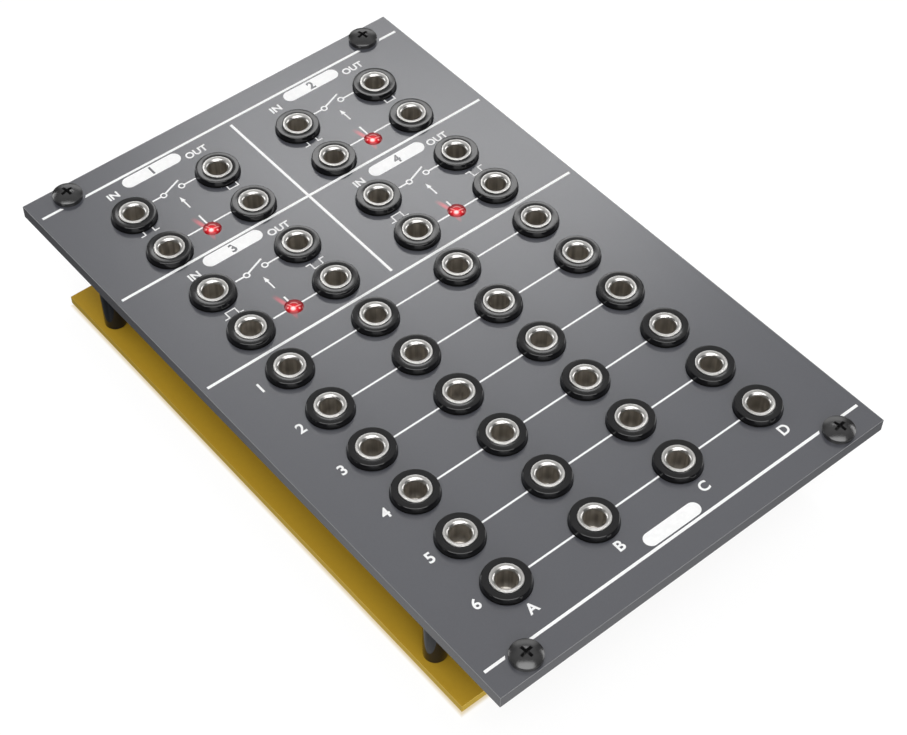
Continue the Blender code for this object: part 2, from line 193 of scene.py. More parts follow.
class Signal:
    """A shader socket that takes part in Python sums."""

    def __init__(self, finish, socket):
        self.finish = finish
        self.socket = socket

    def maths(self, operation, *others, flip=False):
        """One step of arithmetic with other signals or numbers."""
        values = [self, *others]
        if flip:
            values.reverse()
        inputs = dict(enumerate(values))
        return self.finish.node("Math", {"operation": operation}, inputs)

    def __add__(self, other):
        return self.maths("ADD", other)

    def __sub__(self, other):
        return self.maths("SUBTRACT", other)

    def __rsub__(self, other):
        return self.maths("SUBTRACT", other, flip=True)

    def __mul__(self, other):
        return self.maths("MULTIPLY", other)

    def __truediv__(self, other):
        return self.maths("DIVIDE", other)

    def __pow__(self, other):
        return self.maths("POWER", other)

    def least(self, other):
        """The smaller of two values."""
        return self.maths("MINIMUM", other)

    def most(self, other):
        """The larger of two values."""
        return self.maths("MAXIMUM", other)

    def size(self):
        """The value without its sign."""
        return self.maths("ABSOLUTE")

    def above(self, level):
        """One where the value is over the level, and zero elsewhere."""
        return self.maths("GREATER_THAN", level)

    def fade(self, low, high, bottom=0.0, top=1.0):
        """A smooth change from bottom to top while the value goes from low to high."""
        settings = {"interpolation_type": "SMOOTHSTEP"}
        inputs = {"Value": self, "From Min": low, "From Max": high, "To Min": bottom, "To Max": top}
        return self.finish.node("MapRange", settings, inputs)


class Finish:
    """A procedural material or world in the making. Every node comes from its one method."""

    def __init__(self, name, world=None):
        self.material = world or bpy.data.materials.new(name)
        self.material.use_nodes = True
        self.tree = self.material.node_tree
        self.shader = self.tree.nodes["Background" if world else "Principled BSDF"]

    def join(self, socket, value):
        """Links a signal to a socket, or sets the socket's own value. All colours are opaque."""
        if isinstance(value, Signal):
            self.tree.links.new(value.socket, socket)
        elif socket.type == "RGBA":
            socket.default_value = (*value, 1.0)
        else:
            socket.default_value = value

    def node(self, kind, settings=None, inputs=None, output=0):
        """Adds a node with its settings first and its sockets next, and gives one of its outputs."""
        made = self.tree.nodes.new(f"ShaderNode{kind}")
        for name, value in (settings or {}).items():
            setattr(made, name, value)
        for name, value in (inputs or {}).items():
            self.join(made.inputs[name], value)
        return Signal(self, made.outputs[output])

    def place(self):
        """Where a point is on the piece."""
        return self.node("TexCoord", output="Object")

    def split(self, vector):
        """The three numbers of a vector."""
        first = self.node("SeparateXYZ", inputs={0: vector})
        return [Signal(self, socket) for socket in first.socket.node.outputs]

    def noise(self, scale, detail=2.0, stretch=(1.0, 1.0, 1.0)):
        """Noise from 0 to 1 with about this many blotches to a metre."""
        where = self.node("Mapping", inputs={"Vector": self.place(), "Scale": stretch})
        inputs = {"Vector": where, "Scale": scale, "Detail": detail}
        return self.node("TexNoise", inputs=inputs, output="Fac")

    def blend(self, factor, first, second):
        """One colour going over to another."""
        return self.node("Mix", {"data_type": "RGBA"}, {0: factor, 6: first, 7: second}, output=2)

    def bump(self, height, distance, strength=1.0):
        """A normal from a height field. The distance is in millimetres."""
        inputs = {"Height": height, "Distance": distance * MM, "Strength": strength}
        return self.node("Bump", inputs=inputs)

    def set(self, **sockets):
        """Sets or links the main shader's sockets, named in lower case with underscores."""
        for name, value in sockets.items():
            self.join(self.shader.inputs[SHADER_SOCKETS[name]], value)
        return self.material


SHADER_SOCKETS = {
    "colour": "Base Color",
    "roughness": "Roughness",
    "metallic": "Metallic",
    "normal": "Normal",
    "glow": "Emission Color",
    "glow_strength": "Emission Strength",
    "gloss_level": "Specular IOR Level",
    "refraction": "IOR",
}


def shade(colour, share):
    """A colour made darker or lighter."""
    return tuple(value * share for value in colour)


def led_offsets(finish):
    """Millimetres from a point to its nearest LED, to the right and away for the view, and its height."""
    x, y, z = finish.split(finish.place())
    upper = centre_of("gate_1_led")
    lower = centre_of("gate_3_led")
    side = x.above(0.0) * 2 - 1
    along = (x - side * abs(upper.x)) / MM
    up = (y - (y.above((upper.y + lower.y) / 2) * (upper.y - lower.y) + lower.y)) / MM
    right = along * math.cos(VIEW_TURN) - up * math.sin(VIEW_TURN)
    away = along * math.sin(VIEW_TURN) + up * math.cos(VIEW_TURN)
    return right, away, z


def panel_paint(settings):
    """Satin grey paint with a fine grain, a painted highlight along its edges, and the LEDs' light streaked
    on it.
    """
    finish = Finish("panel_paint")
    grain = finish.noise(5200, 3.0)
    cloud = finish.noise(45, 2.0)
    base = finish.blend(grain * 0.7 + cloud * 0.3, shade(settings.paint, 0.9), shade(settings.paint, 1.13))
    x, y, z = finish.split(finish.place())
    middle = (PANEL_LOW + PANEL_HIGH) / 2
    half = (PANEL_HIGH - PANEL_LOW) / 2
    beside = (x - middle.x).size() - half.x
    below = (y - middle.y).size() - half.y
    # Painted highlight: the paint turns pale grey along the top of the plate's edges and down its corners.
    wear_and_edge_highlight = 0.11 * MM
    high = z.fade(PANEL_FRONT - wear_and_edge_highlight, PANEL_FRONT - 0.07 * MM)
    edge = beside.most(below).fade(-wear_and_edge_highlight, -0.06 * MM) * high
    edge = edge.most(beside.least(below).fade(-0.08 * MM, -0.05 * MM))
    base = finish.blend(edge, base, (0.21, 0.212, 0.218))

    # Each streak has a reach from its LED and a distance across that reach, both in millimetres.
    right, away, z = led_offsets(finish)
    reach = away * 0.634 - right * 0.773
    across = (right * 0.634 + away * 0.773 + 0.5).size()
    back = across.fade(0.1, 0.62, 1, 0) * reach.fade(1.3, 1.6) * reach.fade(2.2, 4.7, 1, 0)
    reach = right * 0.45 - away * 0.89
    across = (right * 0.89 + away * 0.45 + 0.58).size()
    front = (across + reach * 0.28).fade(0.65, 1.1, 1, 0) * reach.fade(1.2, 1.5)
    front = front * reach.fade(1.8, 3.1, 0.5, 0)
    halo = ((right * right + away * away) ** 0.5).fade(1.5, 2.2, 0.1, 0.0)
    streak = back.most(front).most(halo) * z.above(PANEL_BACK)
    return finish.set(
        colour=base, roughness=grain * 0.05 + (settings.paint_roughness - 0.02),
        normal=finish.bump(grain, 0.004, 0.5), glow=finish.blend(streak, (0.0, 0.0, 0.0), (0.42, 0.0, 0.01)),
        glow_strength=1.0, gloss_level=1.0, refraction=1.6)


def white_ink(settings):
    """Screen-printed white ink, a little uneven."""
    finish = Finish("white_ink")
    mottle = finish.noise(1400, 2.0)
    colour = finish.blend(mottle.fade(0.35, 0.7), shade(settings.ink, 0.95), settings.ink)
    normal = finish.bump(finish.noise(6000, 2.0), 0.001)
    return finish.set(colour=colour, roughness=mottle * 0.1 + 0.4, normal=normal)


def gloss_black(settings):
    """Polished black plating with the faintest turning marks."""
    finish = Finish("gloss_black")
    dust = finish.noise(900, 4.0)
    wear_and_edge_highlight = finish.noise(260, 2.0)
    colour = finish.blend(wear_and_edge_highlight.fade(0.55, 0.8, 0.0, 0.25), settings.black, (0.02, 0.02, 0.021))
    roughness = dust * 0.04 + wear_and_edge_highlight * 0.03 + 0.065
    return finish.set(colour=colour, roughness=roughness, normal=finish.bump(dust, 0.0015), gloss_level=0.46)


def bright_plate():
    """Nickel plate, turned, a little hazy."""
    finish = Finish("bright_plate")
    turning = finish.noise(2400, 2.0, (0.15, 0.15, 6.0))
    haze = finish.noise(700, 3.0)
    colour = finish.blend(haze, (0.58, 0.57, 0.55), (0.65, 0.64, 0.62))
    return finish.set(colour=colour, metallic=1.0, roughness=turning * 0.03 + haze * 0.04 + 0.25)


def bore_metal():
    """The plug's bore: dull metal with drawing marks along it, with light painted in as a paler colour where
    it is deep and dark.
    """
    finish = Finish("bore_metal")
    depth = (PANEL_FRONT - finish.split(finish.place())[2]) / MM
    marks = finish.noise(1300, 3.0, (1.0, 1.0, 0.03))
    drawn = marks.fade(0.3, 0.7)
    upper = finish.blend(drawn, (0.36, 0.33, 0.29), (0.58, 0.54, 0.48))
    lower = finish.blend(drawn, (0.8, 0.76, 0.7), (1.0, 0.96, 0.9))
    # Painted light: the colour turns paler with depth, where the bore lies in shade.
    colour = finish.blend(depth.fade(1.6, 3.9), upper, lower)
    return finish.set(colour=colour, metallic=depth.fade(1.6, 3.9, 0.9, 0.7), roughness=marks * 0.1 + 0.38)


def washer_black():
    """The dull black washer under each ring nut."""
    finish = Finish("washer_black")
    grain = finish.noise(3600, 2.0)
    return finish.set(colour=(0.002, 0.002, 0.002), roughness=grain * 0.2 + 0.6, gloss_level=0.12)


def red_lens():
    """A lit red LED: its glow is white-hot where the chip shows and deep red at the rim, with a painted
    highlight on top.
    """
    finish = Finish("red_lens")
    right, away, z = led_offsets(finish)
    swirl = finish.noise(1500, 2.0)
    aside = right.size()

    def from_spot(across, beyond, squash=1.0):
        """Millimetres from a spot on the lens."""
        return (across * across + beyond * beyond * squash) ** 0.5

    hot = from_spot(right + 0.08, away + 0.8, 1.6)
    rim = from_spot(right, away)
    body = hot.fade(0.5, 1.9, 1.0, 0.12) * rim.fade(1.1, 1.6, 1.0, 0.2) * (swirl * 0.2 + 0.9)
    glints = from_spot(aside - 0.98, away + 0.6).fade(0.03, 0.26, 0.52, 0)
    band = (away + 0.75 - aside * 0.8).size().fade(0.04, 0.24, 1, 0) * aside.fade(0.9, 1.4, 1, 0)
    # A painted highlight: a thin pale arc across the top of the lens, set in the glow.
    painted_highlight_arc = (away - 0.42 + right * right * 0.5).size().fade(0.04, 0.18, 1, 0) * aside.fade(0.5, 0.85, 1, 0)
    white = hot.fade(0.18, 0.62, 1, 0).most(glints).most(band * 0.34).most(painted_highlight_arc * 0.3)
    deep = finish.blend(body, (0.05, 0.0, 0.001), (0.68, 0.018, 0.026))
    glow = finish.blend(white * z.above(PANEL_FRONT), deep, (1.25, 0.88, 0.86))
    colour = finish.blend(swirl, (0.12, 0.002, 0.004), (0.2, 0.004, 0.008))
    return finish.set(colour=colour, roughness=swirl * 0.03 + 0.11, glow=glow, glow_strength=1.0,
                      gloss_level=0.28)


def mustard_board(settings):
    """Mustard solder mask over glass fibre; its cut edge is paler fibre, lightened further by painted light.
    """
    finish = Finish("mustard_board")
    facing = finish.node("NewGeometry", output="Normal")
    flat = finish.split(facing)[2].size().above(0.5)
    weave = finish.noise(1500, 2.0)
    cloud = finish.noise(60, 3.0)
    face = finish.blend(weave * 0.5 + cloud * 0.5, shade(settings.mask, 0.86), settings.mask)
    fibres = finish.noise(2600, 2.0, (0.3, 0.3, 5.0))
    # The cut edge: paler glass fibre, lightened further as painted light on the board's sides.
    side = finish.blend(fibres, shade(settings.edge, 0.82), settings.edge)
    z = finish.split(finish.place())[2]
    # Painted highlight: a paler line along the top of the cut edge.
    rim = finish.blend(z.fade(BOARD_FRONT - 0.3 * MM, BOARD_FRONT - 0.12 * MM), side, (0.8, 0.555, 0.09))
    return finish.set(
        colour=finish.blend(flat, rim, face), roughness=flat * -0.2 + 0.55 + weave * 0.05,
        normal=finish.bump(weave, 0.004), gloss_level=0.25)


def masked_copper(settings):
    """Copper under the solder mask, a shade lighter than the board."""
    finish = Finish("masked_copper")
    weave = finish.noise(1500, 2.0)
    lit = tuple(min(1.0, value * 1.3 + 0.01) for value in settings.mask)
    return finish.set(colour=finish.blend(weave, settings.mask, lit), roughness=weave * 0.05 + 0.3)


# Each plain finish has clouds that go from a dark to a light colour, and a grain that sets its roughness,
# as a span over a lowest value, and its relief in millimetres. Noise is a scale, a detail and a stretch.
PLAIN_FINISHES = {
    "moulded_black": {
        "clouds": (300, 2.0), "dark": (0.0096, 0.0096, 0.00984), "light": (0.018, 0.018, 0.0186),
        "grain": (4200, 3.0), "roughness": (0.14, 0.36), "relief": 0.006,
    },
    "solder_tin": {
        "clouds": (2600, 4.0), "dark": (0.5, 0.5, 0.5), "light": (0.72, 0.72, 0.71),
        "grain": (2600, 4.0), "roughness": (0.18, 0.2), "relief": 0.01, "metallic": 1.0,
    },
    "screw_black": {
        "clouds": (500, 2.0), "dark": (0.011, 0.011, 0.0115), "light": (0.02, 0.0195, 0.02),
        "grain": (2600, 3.0), "roughness": (0.03, 0.21), "relief": 0.0003, "gloss_level": 0.9,
    },
    "standoff_black": {
        "clouds": (600, 2.0), "dark": (0.003, 0.004, 0.006), "light": (0.007, 0.009, 0.013),
        "grain": (1800, 2.0, (0.1, 0.1, 4.0)), "roughness": (0.04, 0.07), "relief": 0.0015,
        "gloss_level": 0.3,
    },
    "white_nylon": {
        "clouds": (400, 3.0), "dark": (0.7, 0.67, 0.6), "light": (0.8, 0.78, 0.72),
        "grain": (3600, 2.0), "roughness": (0.1, 0.38), "relief": 0.005,
    },
    "chip_epoxy": {
        "clouds": (5200, 3.0), "dark": (0.012, 0.012, 0.013), "light": (0.03, 0.03, 0.031),
        "grain": (5200, 3.0), "roughness": (0.15, 0.35), "relief": 0.004,
    },
    "resistor_body": {
        "clouds": (5200, 3.0), "dark": (0.015, 0.016, 0.018), "light": (0.035, 0.036, 0.04),
        "grain": (5200, 3.0), "roughness": (0.15, 0.35), "relief": 0.004,
    },
}


def plain_finish(name):
    """A finish of the table: moulded plastic, tin, plating, nylon or a fired body."""
    recipe = dict(PLAIN_FINISHES[name])
    finish = Finish(name)
    clouds = finish.noise(*recipe.pop("clouds"))
    grain = finish.noise(*recipe.pop("grain"))
    colour = finish.blend(clouds, recipe.pop("dark"), recipe.pop("light"))
    span, lowest = recipe.pop("roughness")
    normal = finish.bump(grain, recipe.pop("relief"))
    return finish.set(colour=colour, roughness=grain * span + lowest, normal=normal, **recipe)


SAME_POINT = 0.0005 * MM


class Recipe:
    """A Geometry Nodes tree in the making, with named inputs."""

    def __init__(self, name, inputs):
        self.tree = bpy.data.node_groups.new(name, "GeometryNodeTree")
        sockets = self.tree.interface
        sockets.new_socket("Geometry", in_out="INPUT", socket_type="NodeSocketGeometry")
        for label, kind in inputs.items():
            sockets.new_socket(label, in_out="INPUT", socket_type=f"NodeSocket{kind}")
        sockets.new_socket("Geometry", in_out="OUTPUT", socket_type="NodeSocketGeometry")
        self.given = self.tree.nodes.new("NodeGroupInput")
        self.result = self.tree.nodes.new("NodeGroupOutput")

    def take(self, name):
        """The socket of a named input."""
        return self.given.outputs[name]

    def node(self, kind, settings=None, inputs=None, output=0):
        """Adds a node with its settings first and its sockets next, and gives one of its outputs."""
        prefix = "" if kind.startswith("ShaderNode") else "GeometryNode"
        made = self.tree.nodes.new(prefix + kind)
        for name, value in (settings or {}).items():
            setattr(made, name, value)
        for name, value in (inputs or {}).items():
            values = value if isinstance(value, list) else [value]
            for one in values:
                if isinstance(one, bpy.types.NodeSocket):
                    self.tree.links.new(one, made.inputs[name])
                else:
                    made.inputs[name].default_value = one
        return made.outputs[output]

    def times(self, name, factor):
        """A named input, multiplied."""
        return self.node("ShaderNodeMath", {"operation": "MULTIPLY"}, {0: self.take(name), 1: factor})

    def copies_on(self, shape, places):
        """One copy of the shape on each point of the places object."""
        points = self.node("ObjectInfo", inputs={"Object": places}, output="Geometry")
        return self.node("InstanceOnPoints", inputs={"Points": points, "Instance": shape})

    def finish(self, shape):
        """Ends the tree: real geometry in the given material."""
        real = self.node("RealizeInstances", inputs={"Geometry": shape})
        inputs = {"Geometry": real, "Material": self.take("Material")}
        done = self.node("SetMaterial", inputs=inputs)
        self.tree.links.new(done, self.result.inputs[0])
        return self.tree


def turned_recipe(cut):
    """Turns a profile about Z, cuts it where it is asked to, and sets a copy on each place."""
    inputs = {"Places": "Object", "Sides": "Int", "Turn Radius": "Float", "Material": "Material"}
    if cut:
        inputs["Cutter"] = "Object"
    recipe = Recipe("cut_turned_parts" if cut else "turned_parts", inputs)
    line = recipe.node("MeshToCurve", inputs={"Mesh": recipe.take("Geometry")})
    shift = recipe.node("ShaderNodeCombineXYZ", inputs={"X": recipe.times("Turn Radius", -1.0)})
    line = recipe.node("Transform", inputs={
        "Geometry": line, "Translation": shift, "Rotation": (math.pi / 2, 0.0, 0.0)})
    circle = recipe.node("CurvePrimitiveCircle", inputs={
        "Resolution": recipe.take("Sides"), "Radius": recipe.take("Turn Radius")})
    circle = recipe.node("SetCurveNormal", {"mode": "Z_UP"}, {"Curve": circle})
    shape = recipe.node("CurveToMesh", inputs={"Curve": circle, "Profile Curve": line})
    shape = recipe.node("MergeByDistance", inputs={"Geometry": shape, "Distance": SAME_POINT})
    if cut:
        cutter = recipe.node("ObjectInfo", inputs={"Object": recipe.take("Cutter")},
                             output="Geometry")
        shape = recipe.node("MeshBoolean", {"operation": "DIFFERENCE", "solver": "EXACT"},
                            {"Mesh 1": shape, "Mesh 2": cutter})
    return recipe.finish(recipe.copies_on(shape, recipe.take("Places")))


def copies_recipe():
    """Sets a copy of a modelled shape on each place."""
    recipe = Recipe("copies_on_places", {"Places": "Object", "Material": "Material"})
    return recipe.finish(recipe.copies_on(recipe.take("Geometry"), recipe.take("Places")))


def plate_recipe():
    """A plate with round holes and round-ended slots."""
    lengths = ("Width", "Height", "Thickness", "Jack Hole", "LED Hole", "Slot Length", "Slot Width")
    inputs = {name: "Float" for name in lengths}
    inputs.update({"Hole Sides": "Int", "Jacks": "Object", "LEDs": "Object", "Slots": "Object",
                   "Material": "Material"})
    recipe = Recipe("perforated_plate", inputs)
    rim = recipe.node("CurvePrimitiveQuadrilateral", {"mode": "RECTANGLE"}, {
        "Width": recipe.take("Width"), "Height": recipe.take("Height")})
    outlines = [rim]
    for diameter, places in (("Jack Hole", "Jacks"), ("LED Hole", "LEDs")):
        hole = recipe.node("CurvePrimitiveCircle", inputs={
            "Resolution": recipe.take("Hole Sides"), "Radius": recipe.times(diameter, 0.5)})
        outlines.append(recipe.copies_on(hole, recipe.take(places)))
    slot = recipe.node("CurvePrimitiveQuadrilateral", {"mode": "RECTANGLE"}, {
        "Width": recipe.take("Slot Length"), "Height": recipe.take("Slot Width")})
    # The rounds stop just short of half the width, because two rounds that meet would share a point.
    slot = recipe.node("FilletCurve", {"mode": "POLY"}, {
        "Curve": slot, "Count": 12, "Radius": recipe.times("Slot Width", 0.4999)})
    outlines.append(recipe.copies_on(slot, recipe.take("Slots")))
    joined = recipe.node("JoinGeometry", inputs={"Geometry": outlines})
    real = recipe.node("RealizeInstances", inputs={"Geometry": joined})
    face = recipe.node("FillCurve", {"mode": "TRIANGLES"}, {"Curve": real})
    lift = recipe.node("ShaderNodeCombineXYZ", inputs={"Z": recipe.take("Thickness")})
    sides = recipe.node("ExtrudeMesh", {"mode": "FACES"}, {
        "Mesh": face, "Offset": lift, "Offset Scale": 1.0, "Individual": False})
    back = recipe.node("FlipFaces", inputs={"Mesh": face})
    whole = recipe.node("JoinGeometry", inputs={"Geometry": [sides, back]})
    whole = recipe.node("MergeByDistance", inputs={"Geometry": whole, "Distance": SAME_POINT})
    return recipe.finish(whole)


def helper(name, mesh):
    """An object that only serves to make another."""
    obj = bpy.data.objects.new(name, mesh)
    bpy.context.scene.collection.objects.link(obj)
    return obj


def add_modifier(obj, kind, **settings):
    """Adds a modifier with its settings."""
    modifier = obj.modifiers.new(kind.lower(), kind)
    for name, value in settings.items():
        setattr(modifier, name, value)


def points_object(name, places, height=0.0):
    """An object with one loose point at each place."""
    mesh = bpy.data.meshes.new(name)
    mesh.from_pydata([(place[0], place[1], height) for place in places], [], [])
    return helper(name, mesh)


def run_recipe(name, mesh, tree, values):
    """The plain mesh that a Geometry Nodes tree makes of a starting mesh."""
    obj = helper(name, mesh)
    modifier = obj.modifiers.new("recipe", "NODES")
    modifier.node_group = tree
    keys = {item.name: item.identifier for item in tree.interface.items_tree if item.in_out == "INPUT"}
    for label, value in values.items():
        modifier[keys[label]] = value
    made = baked(obj)
    for label, value in values.items():
        if isinstance(value, bpy.types.Object):
            bpy.data.objects.remove(value)
    return made


def baked(obj, clean=True):
    """The object's mesh with its modifiers worked in. The object goes."""
    bpy.context.view_layer.update()
    depsgraph = bpy.context.evaluated_depsgraph_get()
    mesh = bpy.data.meshes.new_from_object(obj.evaluated_get(depsgraph))
    mesh.name = obj.name
    bpy.data.objects.remove(obj)
    if clean:
        bm = bmesh.new()
        bm.from_mesh(mesh)
        bmesh.ops.remove_doubles(bm, verts=bm.verts, dist=0.0002 * MM)
        bmesh.ops.recalc_face_normals(bm, faces=bm.faces)
        bm.to_mesh(mesh)
        bm.free()
    return mesh


def piece(name, mesh, material, body=BODY, stands_for=(), slot=None, smooth=32):
    """A finished piece that rides on its body, shaded smooth up to an angle in degrees."""
    obj = bpy.data.objects.new(name, mesh)
    bpy.context.scene.collection.objects.link(obj)
    mesh.materials.clear()
    mesh.materials.append(material)
    if smooth is not None:
        mesh.shade_smooth()
        mesh.set_sharp_from_angle(angle=math.radians(smooth))
    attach(obj, body)
    if stands_for:
        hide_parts(*stands_for)
    return obj


def rounded(points, radius, steps=4, closed=False):
    """A line of points with each inner corner rounded, over less than half of the sides that meet there.

    A point may give its own radius third.
    """
    longest = 0.48
    done = []
    count = len(points)
    for index, point in enumerate(points):
        here = Vector(point[:2])
        wanted = point[2] if len(point) > 2 else radius
        if not closed and index in (0, count - 1) or wanted <= 0:
            done.append(tuple(here))
            continue
        before = Vector(points[index - 1][:2]) - here
        after = Vector(points[(index + 1) % count][:2]) - here
        half = before.angle(after) / 2
        reach = min(wanted / math.tan(half), before.length * longest, after.length * longest)
        first = here + before.normalized() * reach
        last = here + after.normalized() * reach
        for step in range(steps + 1):
            share = step / steps
            edge = first.lerp(here, share).lerp(here.lerp(last, share), share)
            done.append(tuple(edge))
    return done


def outline_mesh(name, points, closed=False):
    """A line of edges in the XZ plane, given as radius and height."""
    mesh = bpy.data.meshes.new(name)
    count = len(points)
    edges = [(index, index + 1) for index in range(count - 1)]
    if closed:
        edges.append((count - 1, 0))
    mesh.from_pydata([(x, 0, z) for x, z in points], edges, [])
    return mesh


def turned_piece(name, outline, places, material, sides, closed=False, height=0.0, cutter=None, **about):
    """A finished piece of turned parts on their places, cut by a shape if there is one."""
    tree = turned_recipe(cutter is not None)
    values = {
        "Places": points_object(f"{name}_places", places, height),
        "Sides": sides,
        "Turn Radius": max(x for x, _ in outline),
        "Material": material,
    }
    if cutter is not None:
        values["Cutter"] = cutter
    mesh = run_recipe(name, outline_mesh(name, outline, closed), tree, values)
    return piece(name, mesh, material, **about)


def spread_piece(name, mesh, places, material, **about):
    """A finished piece of copies of a modelled shape on their places."""
    values = {"Places": points_object(f"{name}_places", places), "Material": material}
    return piece(name, run_recipe(name, mesh, copies_recipe(), values), material, **about)


def dome_line(radius, rise, top, steps=14):
    """The outline of a low dome, from its top on the axis out to its rim."""
    ball = (radius ** 2 + rise ** 2) / (2 * rise)
    reach = math.asin(radius / ball)
    turns = [reach * step / steps for step in range(steps + 1)]
    return [(ball * math.sin(turn), top - ball * (1 - math.cos(turn))) for turn in turns]


def mesh_of(name, bm):
    """The mesh of a finished bmesh."""
    mesh = bpy.data.meshes.new(name)
    bm.to_mesh(mesh)
    bm.free()
    return mesh


def span(middle, half):
    """A stretch to both sides of a middle."""
    return (middle - half, middle + half)


def box_mesh(name, boxes, edge, segments=1):
    """One mesh of boxes with rounded edges, each given by its stretches along X, Y and Z."""
    bm = bmesh.new()
    for stretches in boxes:
        low, high = (Vector(corner) for corner in zip(*(sorted(stretch) for stretch in stretches)))
        matrix = Matrix.Translation((low + high) / 2) @ Matrix.Diagonal((*(high - low), 1.0))
        bmesh.ops.create_cube(bm, size=1.0, matrix=matrix)
    bmesh.ops.bevel(bm, geom=bm.edges[:], offset=edge, segments=segments, profile=0.5, affect="EDGES")
    return mesh_of(name, bm)


class Print:
    """Flat white artwork in the making: everything lies on one level over the panel."""

    def __init__(self, level):
        self.bm = bmesh.new()
        self.level = level

    def polygon(self, corners):
        """One flat face, given anticlockwise."""
        return self.bm.faces.new([self.bm.verts.new((x, y, self.level)) for x, y in corners])

    def stroke(self, points, width, closed=False):
        """A line of even width with mitred corners."""
        sharpest = 0.3
        line = [Vector(point) for point in points]
        count = len(line)
        rails = []
        for index, here in enumerate(line):
            sides = []
            if closed or index > 0:
                way = (here - line[index - 1]).normalized()
                sides.append(Vector((-way.y, way.x)))
            if closed or index < count - 1:
                way = (line[(index + 1) % count] - here).normalized()
                sides.append(Vector((-way.y, way.x)))
            mitre = (sides[0] + sides[-1]).normalized()
            reach = width / 2 / max(mitre.dot(sides[0]), sharpest)
            rails.append((here + mitre * reach, here - mitre * reach))
        for index in range(count if closed else count - 1):
            left, right = rails[index]
            next_left, next_right = rails[(index + 1) % count]
            self.polygon([left, right, next_right, next_left])

    def ring(self, centre, radius, width, sides=28):
        """A small circle drawn as a line."""
        points = [(centre[0] + radius * math.cos(turn), centre[1] + radius * math.sin(turn))
                  for turn in (math.tau * index / sides for index in range(sides))]
        self.stroke(points, width, closed=True)

    def filled(self, loops):
        """A shape with holes, from its closed loops."""
        points = [Vector(point) for loop in loops for point in loop]
        edges = []
        for loop in loops:
            start = len(edges)
            edges += [(start + index, start + (index + 1) % len(loop)) for index in range(len(loop))]
        nearness = 1e-7
        corners, _, faces, *_ = delaunay_2d_cdt(points, edges, [], 0, nearness)
        for face in faces:
            middle = sum((corners[index] for index in face), Vector((0, 0))) / len(face)
            if sum(crosses(loop, middle) for loop in loops) % 2:
                self.polygon([corners[index] for index in face])

    def words(self, text, centre, height, width=None, weight=0.0):
        """Plain capitals or numbers, centred on a place, with a given height."""
        points, faces = letter_shapes(text, weight)
        low, high = corners_of(points)
        tall = height / (high.y - low.y)
        wide = tall if width is None else width / (high.x - low.x)
        middle = (low + high) / 2
        made = []
        for x, y in points:
            place = ((x - middle.x) * wide + centre[0], (y - middle.y) * tall + centre[1], self.level)
            made.append(self.bm.verts.new(place))
        for face in faces:
            self.bm.faces.new([made[index] for index in face])

    def mesh(self, name):
        """The artwork's mesh, facing up and merged."""
        bmesh.ops.remove_doubles(self.bm, verts=self.bm.verts, dist=SAME_POINT)
        for face in self.bm.faces:
            face.normal_update()
            if face.normal.z < 0:
                face.normal_flip()
        return mesh_of(name, self.bm)

    def sheet(self, name, thickness, side):
        """The artwork's mesh with a thickness, above its level for side 1 and below it for side -1."""
        flat = helper(name, self.mesh(name))
        add_modifier(flat, "SOLIDIFY", thickness=thickness, offset=side)
        return baked(flat, clean=False)


def crosses(loop, point):
    """How many edges of a loop lie to the right of a point."""
    found = 0
    for index, here in enumerate(loop):
        there = loop[(index + 1) % len(loop)]
        if (here[1] > point[1]) != (there[1] > point[1]):
            share = (point[1] - here[1]) / (there[1] - here[1])
            if here[0] + share * (there[0] - here[0]) > point[0]:
                found += 1
    return found


def corners_of(points):
    """Lowest and highest corner of flat points."""
    low = Vector((min(x for x, y in points), min(y for x, y in points)))
    high = Vector((max(x for x, y in points), max(y for x, y in points)))
    return low, high


def letter_shapes(text, weight):
    """Flat points and faces of a few characters in Blender's own font."""
    curve = bpy.data.curves.new("lettering", "FONT")
    curve.body = text
    curve.resolution_u = 5
    curve.offset = weight
    obj = helper("lettering", curve)
    mesh = baked(obj, clean=False)
    points = [(vertex.co.x, vertex.co.y) for vertex in mesh.vertices]
    faces = [tuple(polygon.vertices) for polygon in mesh.polygons]
    bpy.data.meshes.remove(mesh)
    return points, faces


def letter_loops(text, centre, height, weight=0.0):
    """The closed outlines of a character, centred on a place, with a given height."""
    points, faces = letter_shapes(text, weight)
    spots = {}
    merged = []
    for x, y in points:
        key = (round(x, 5), round(y, 5))
        merged.append(spots.setdefault(key, len(spots)))
    places = list(spots)
    seen = {}
    for face in faces:
        ring = [merged[index] for index in face]
        for index, first in enumerate(ring):
            second = ring[(index + 1) % len(ring)]
            seen[(first, second)] = True
    border = {first: second for first, second in seen if (second, first) not in seen}
    low, high = corners_of(places)
    scale = height / (high.y - low.y)
    middle = (low + high) / 2
    loops = []
    while border:
        start = next(iter(border))
        loop = []
        step = start
        while step in border:
            loop.append(step)
            step = border.pop(step)
        loops.append([((places[index][0] - middle.x) * scale + centre[0],
                       (places[index][1] - middle.y) * scale + centre[1]) for index in loop])
    return loops


def pill_outline(centre, length, height, sides=14):
    """A bar with fully round ends."""
    radius = height / 2
    reach = length / 2 - radius
    points = []
    for end, start in ((1, -math.pi / 2), (-1, math.pi / 2)):
        for step in range(sides + 1):
            turn = start + math.pi * step / sides
            points.append((centre[0] + end * reach + radius * math.cos(turn),
                           centre[1] + radius * math.sin(turn)))
    return points


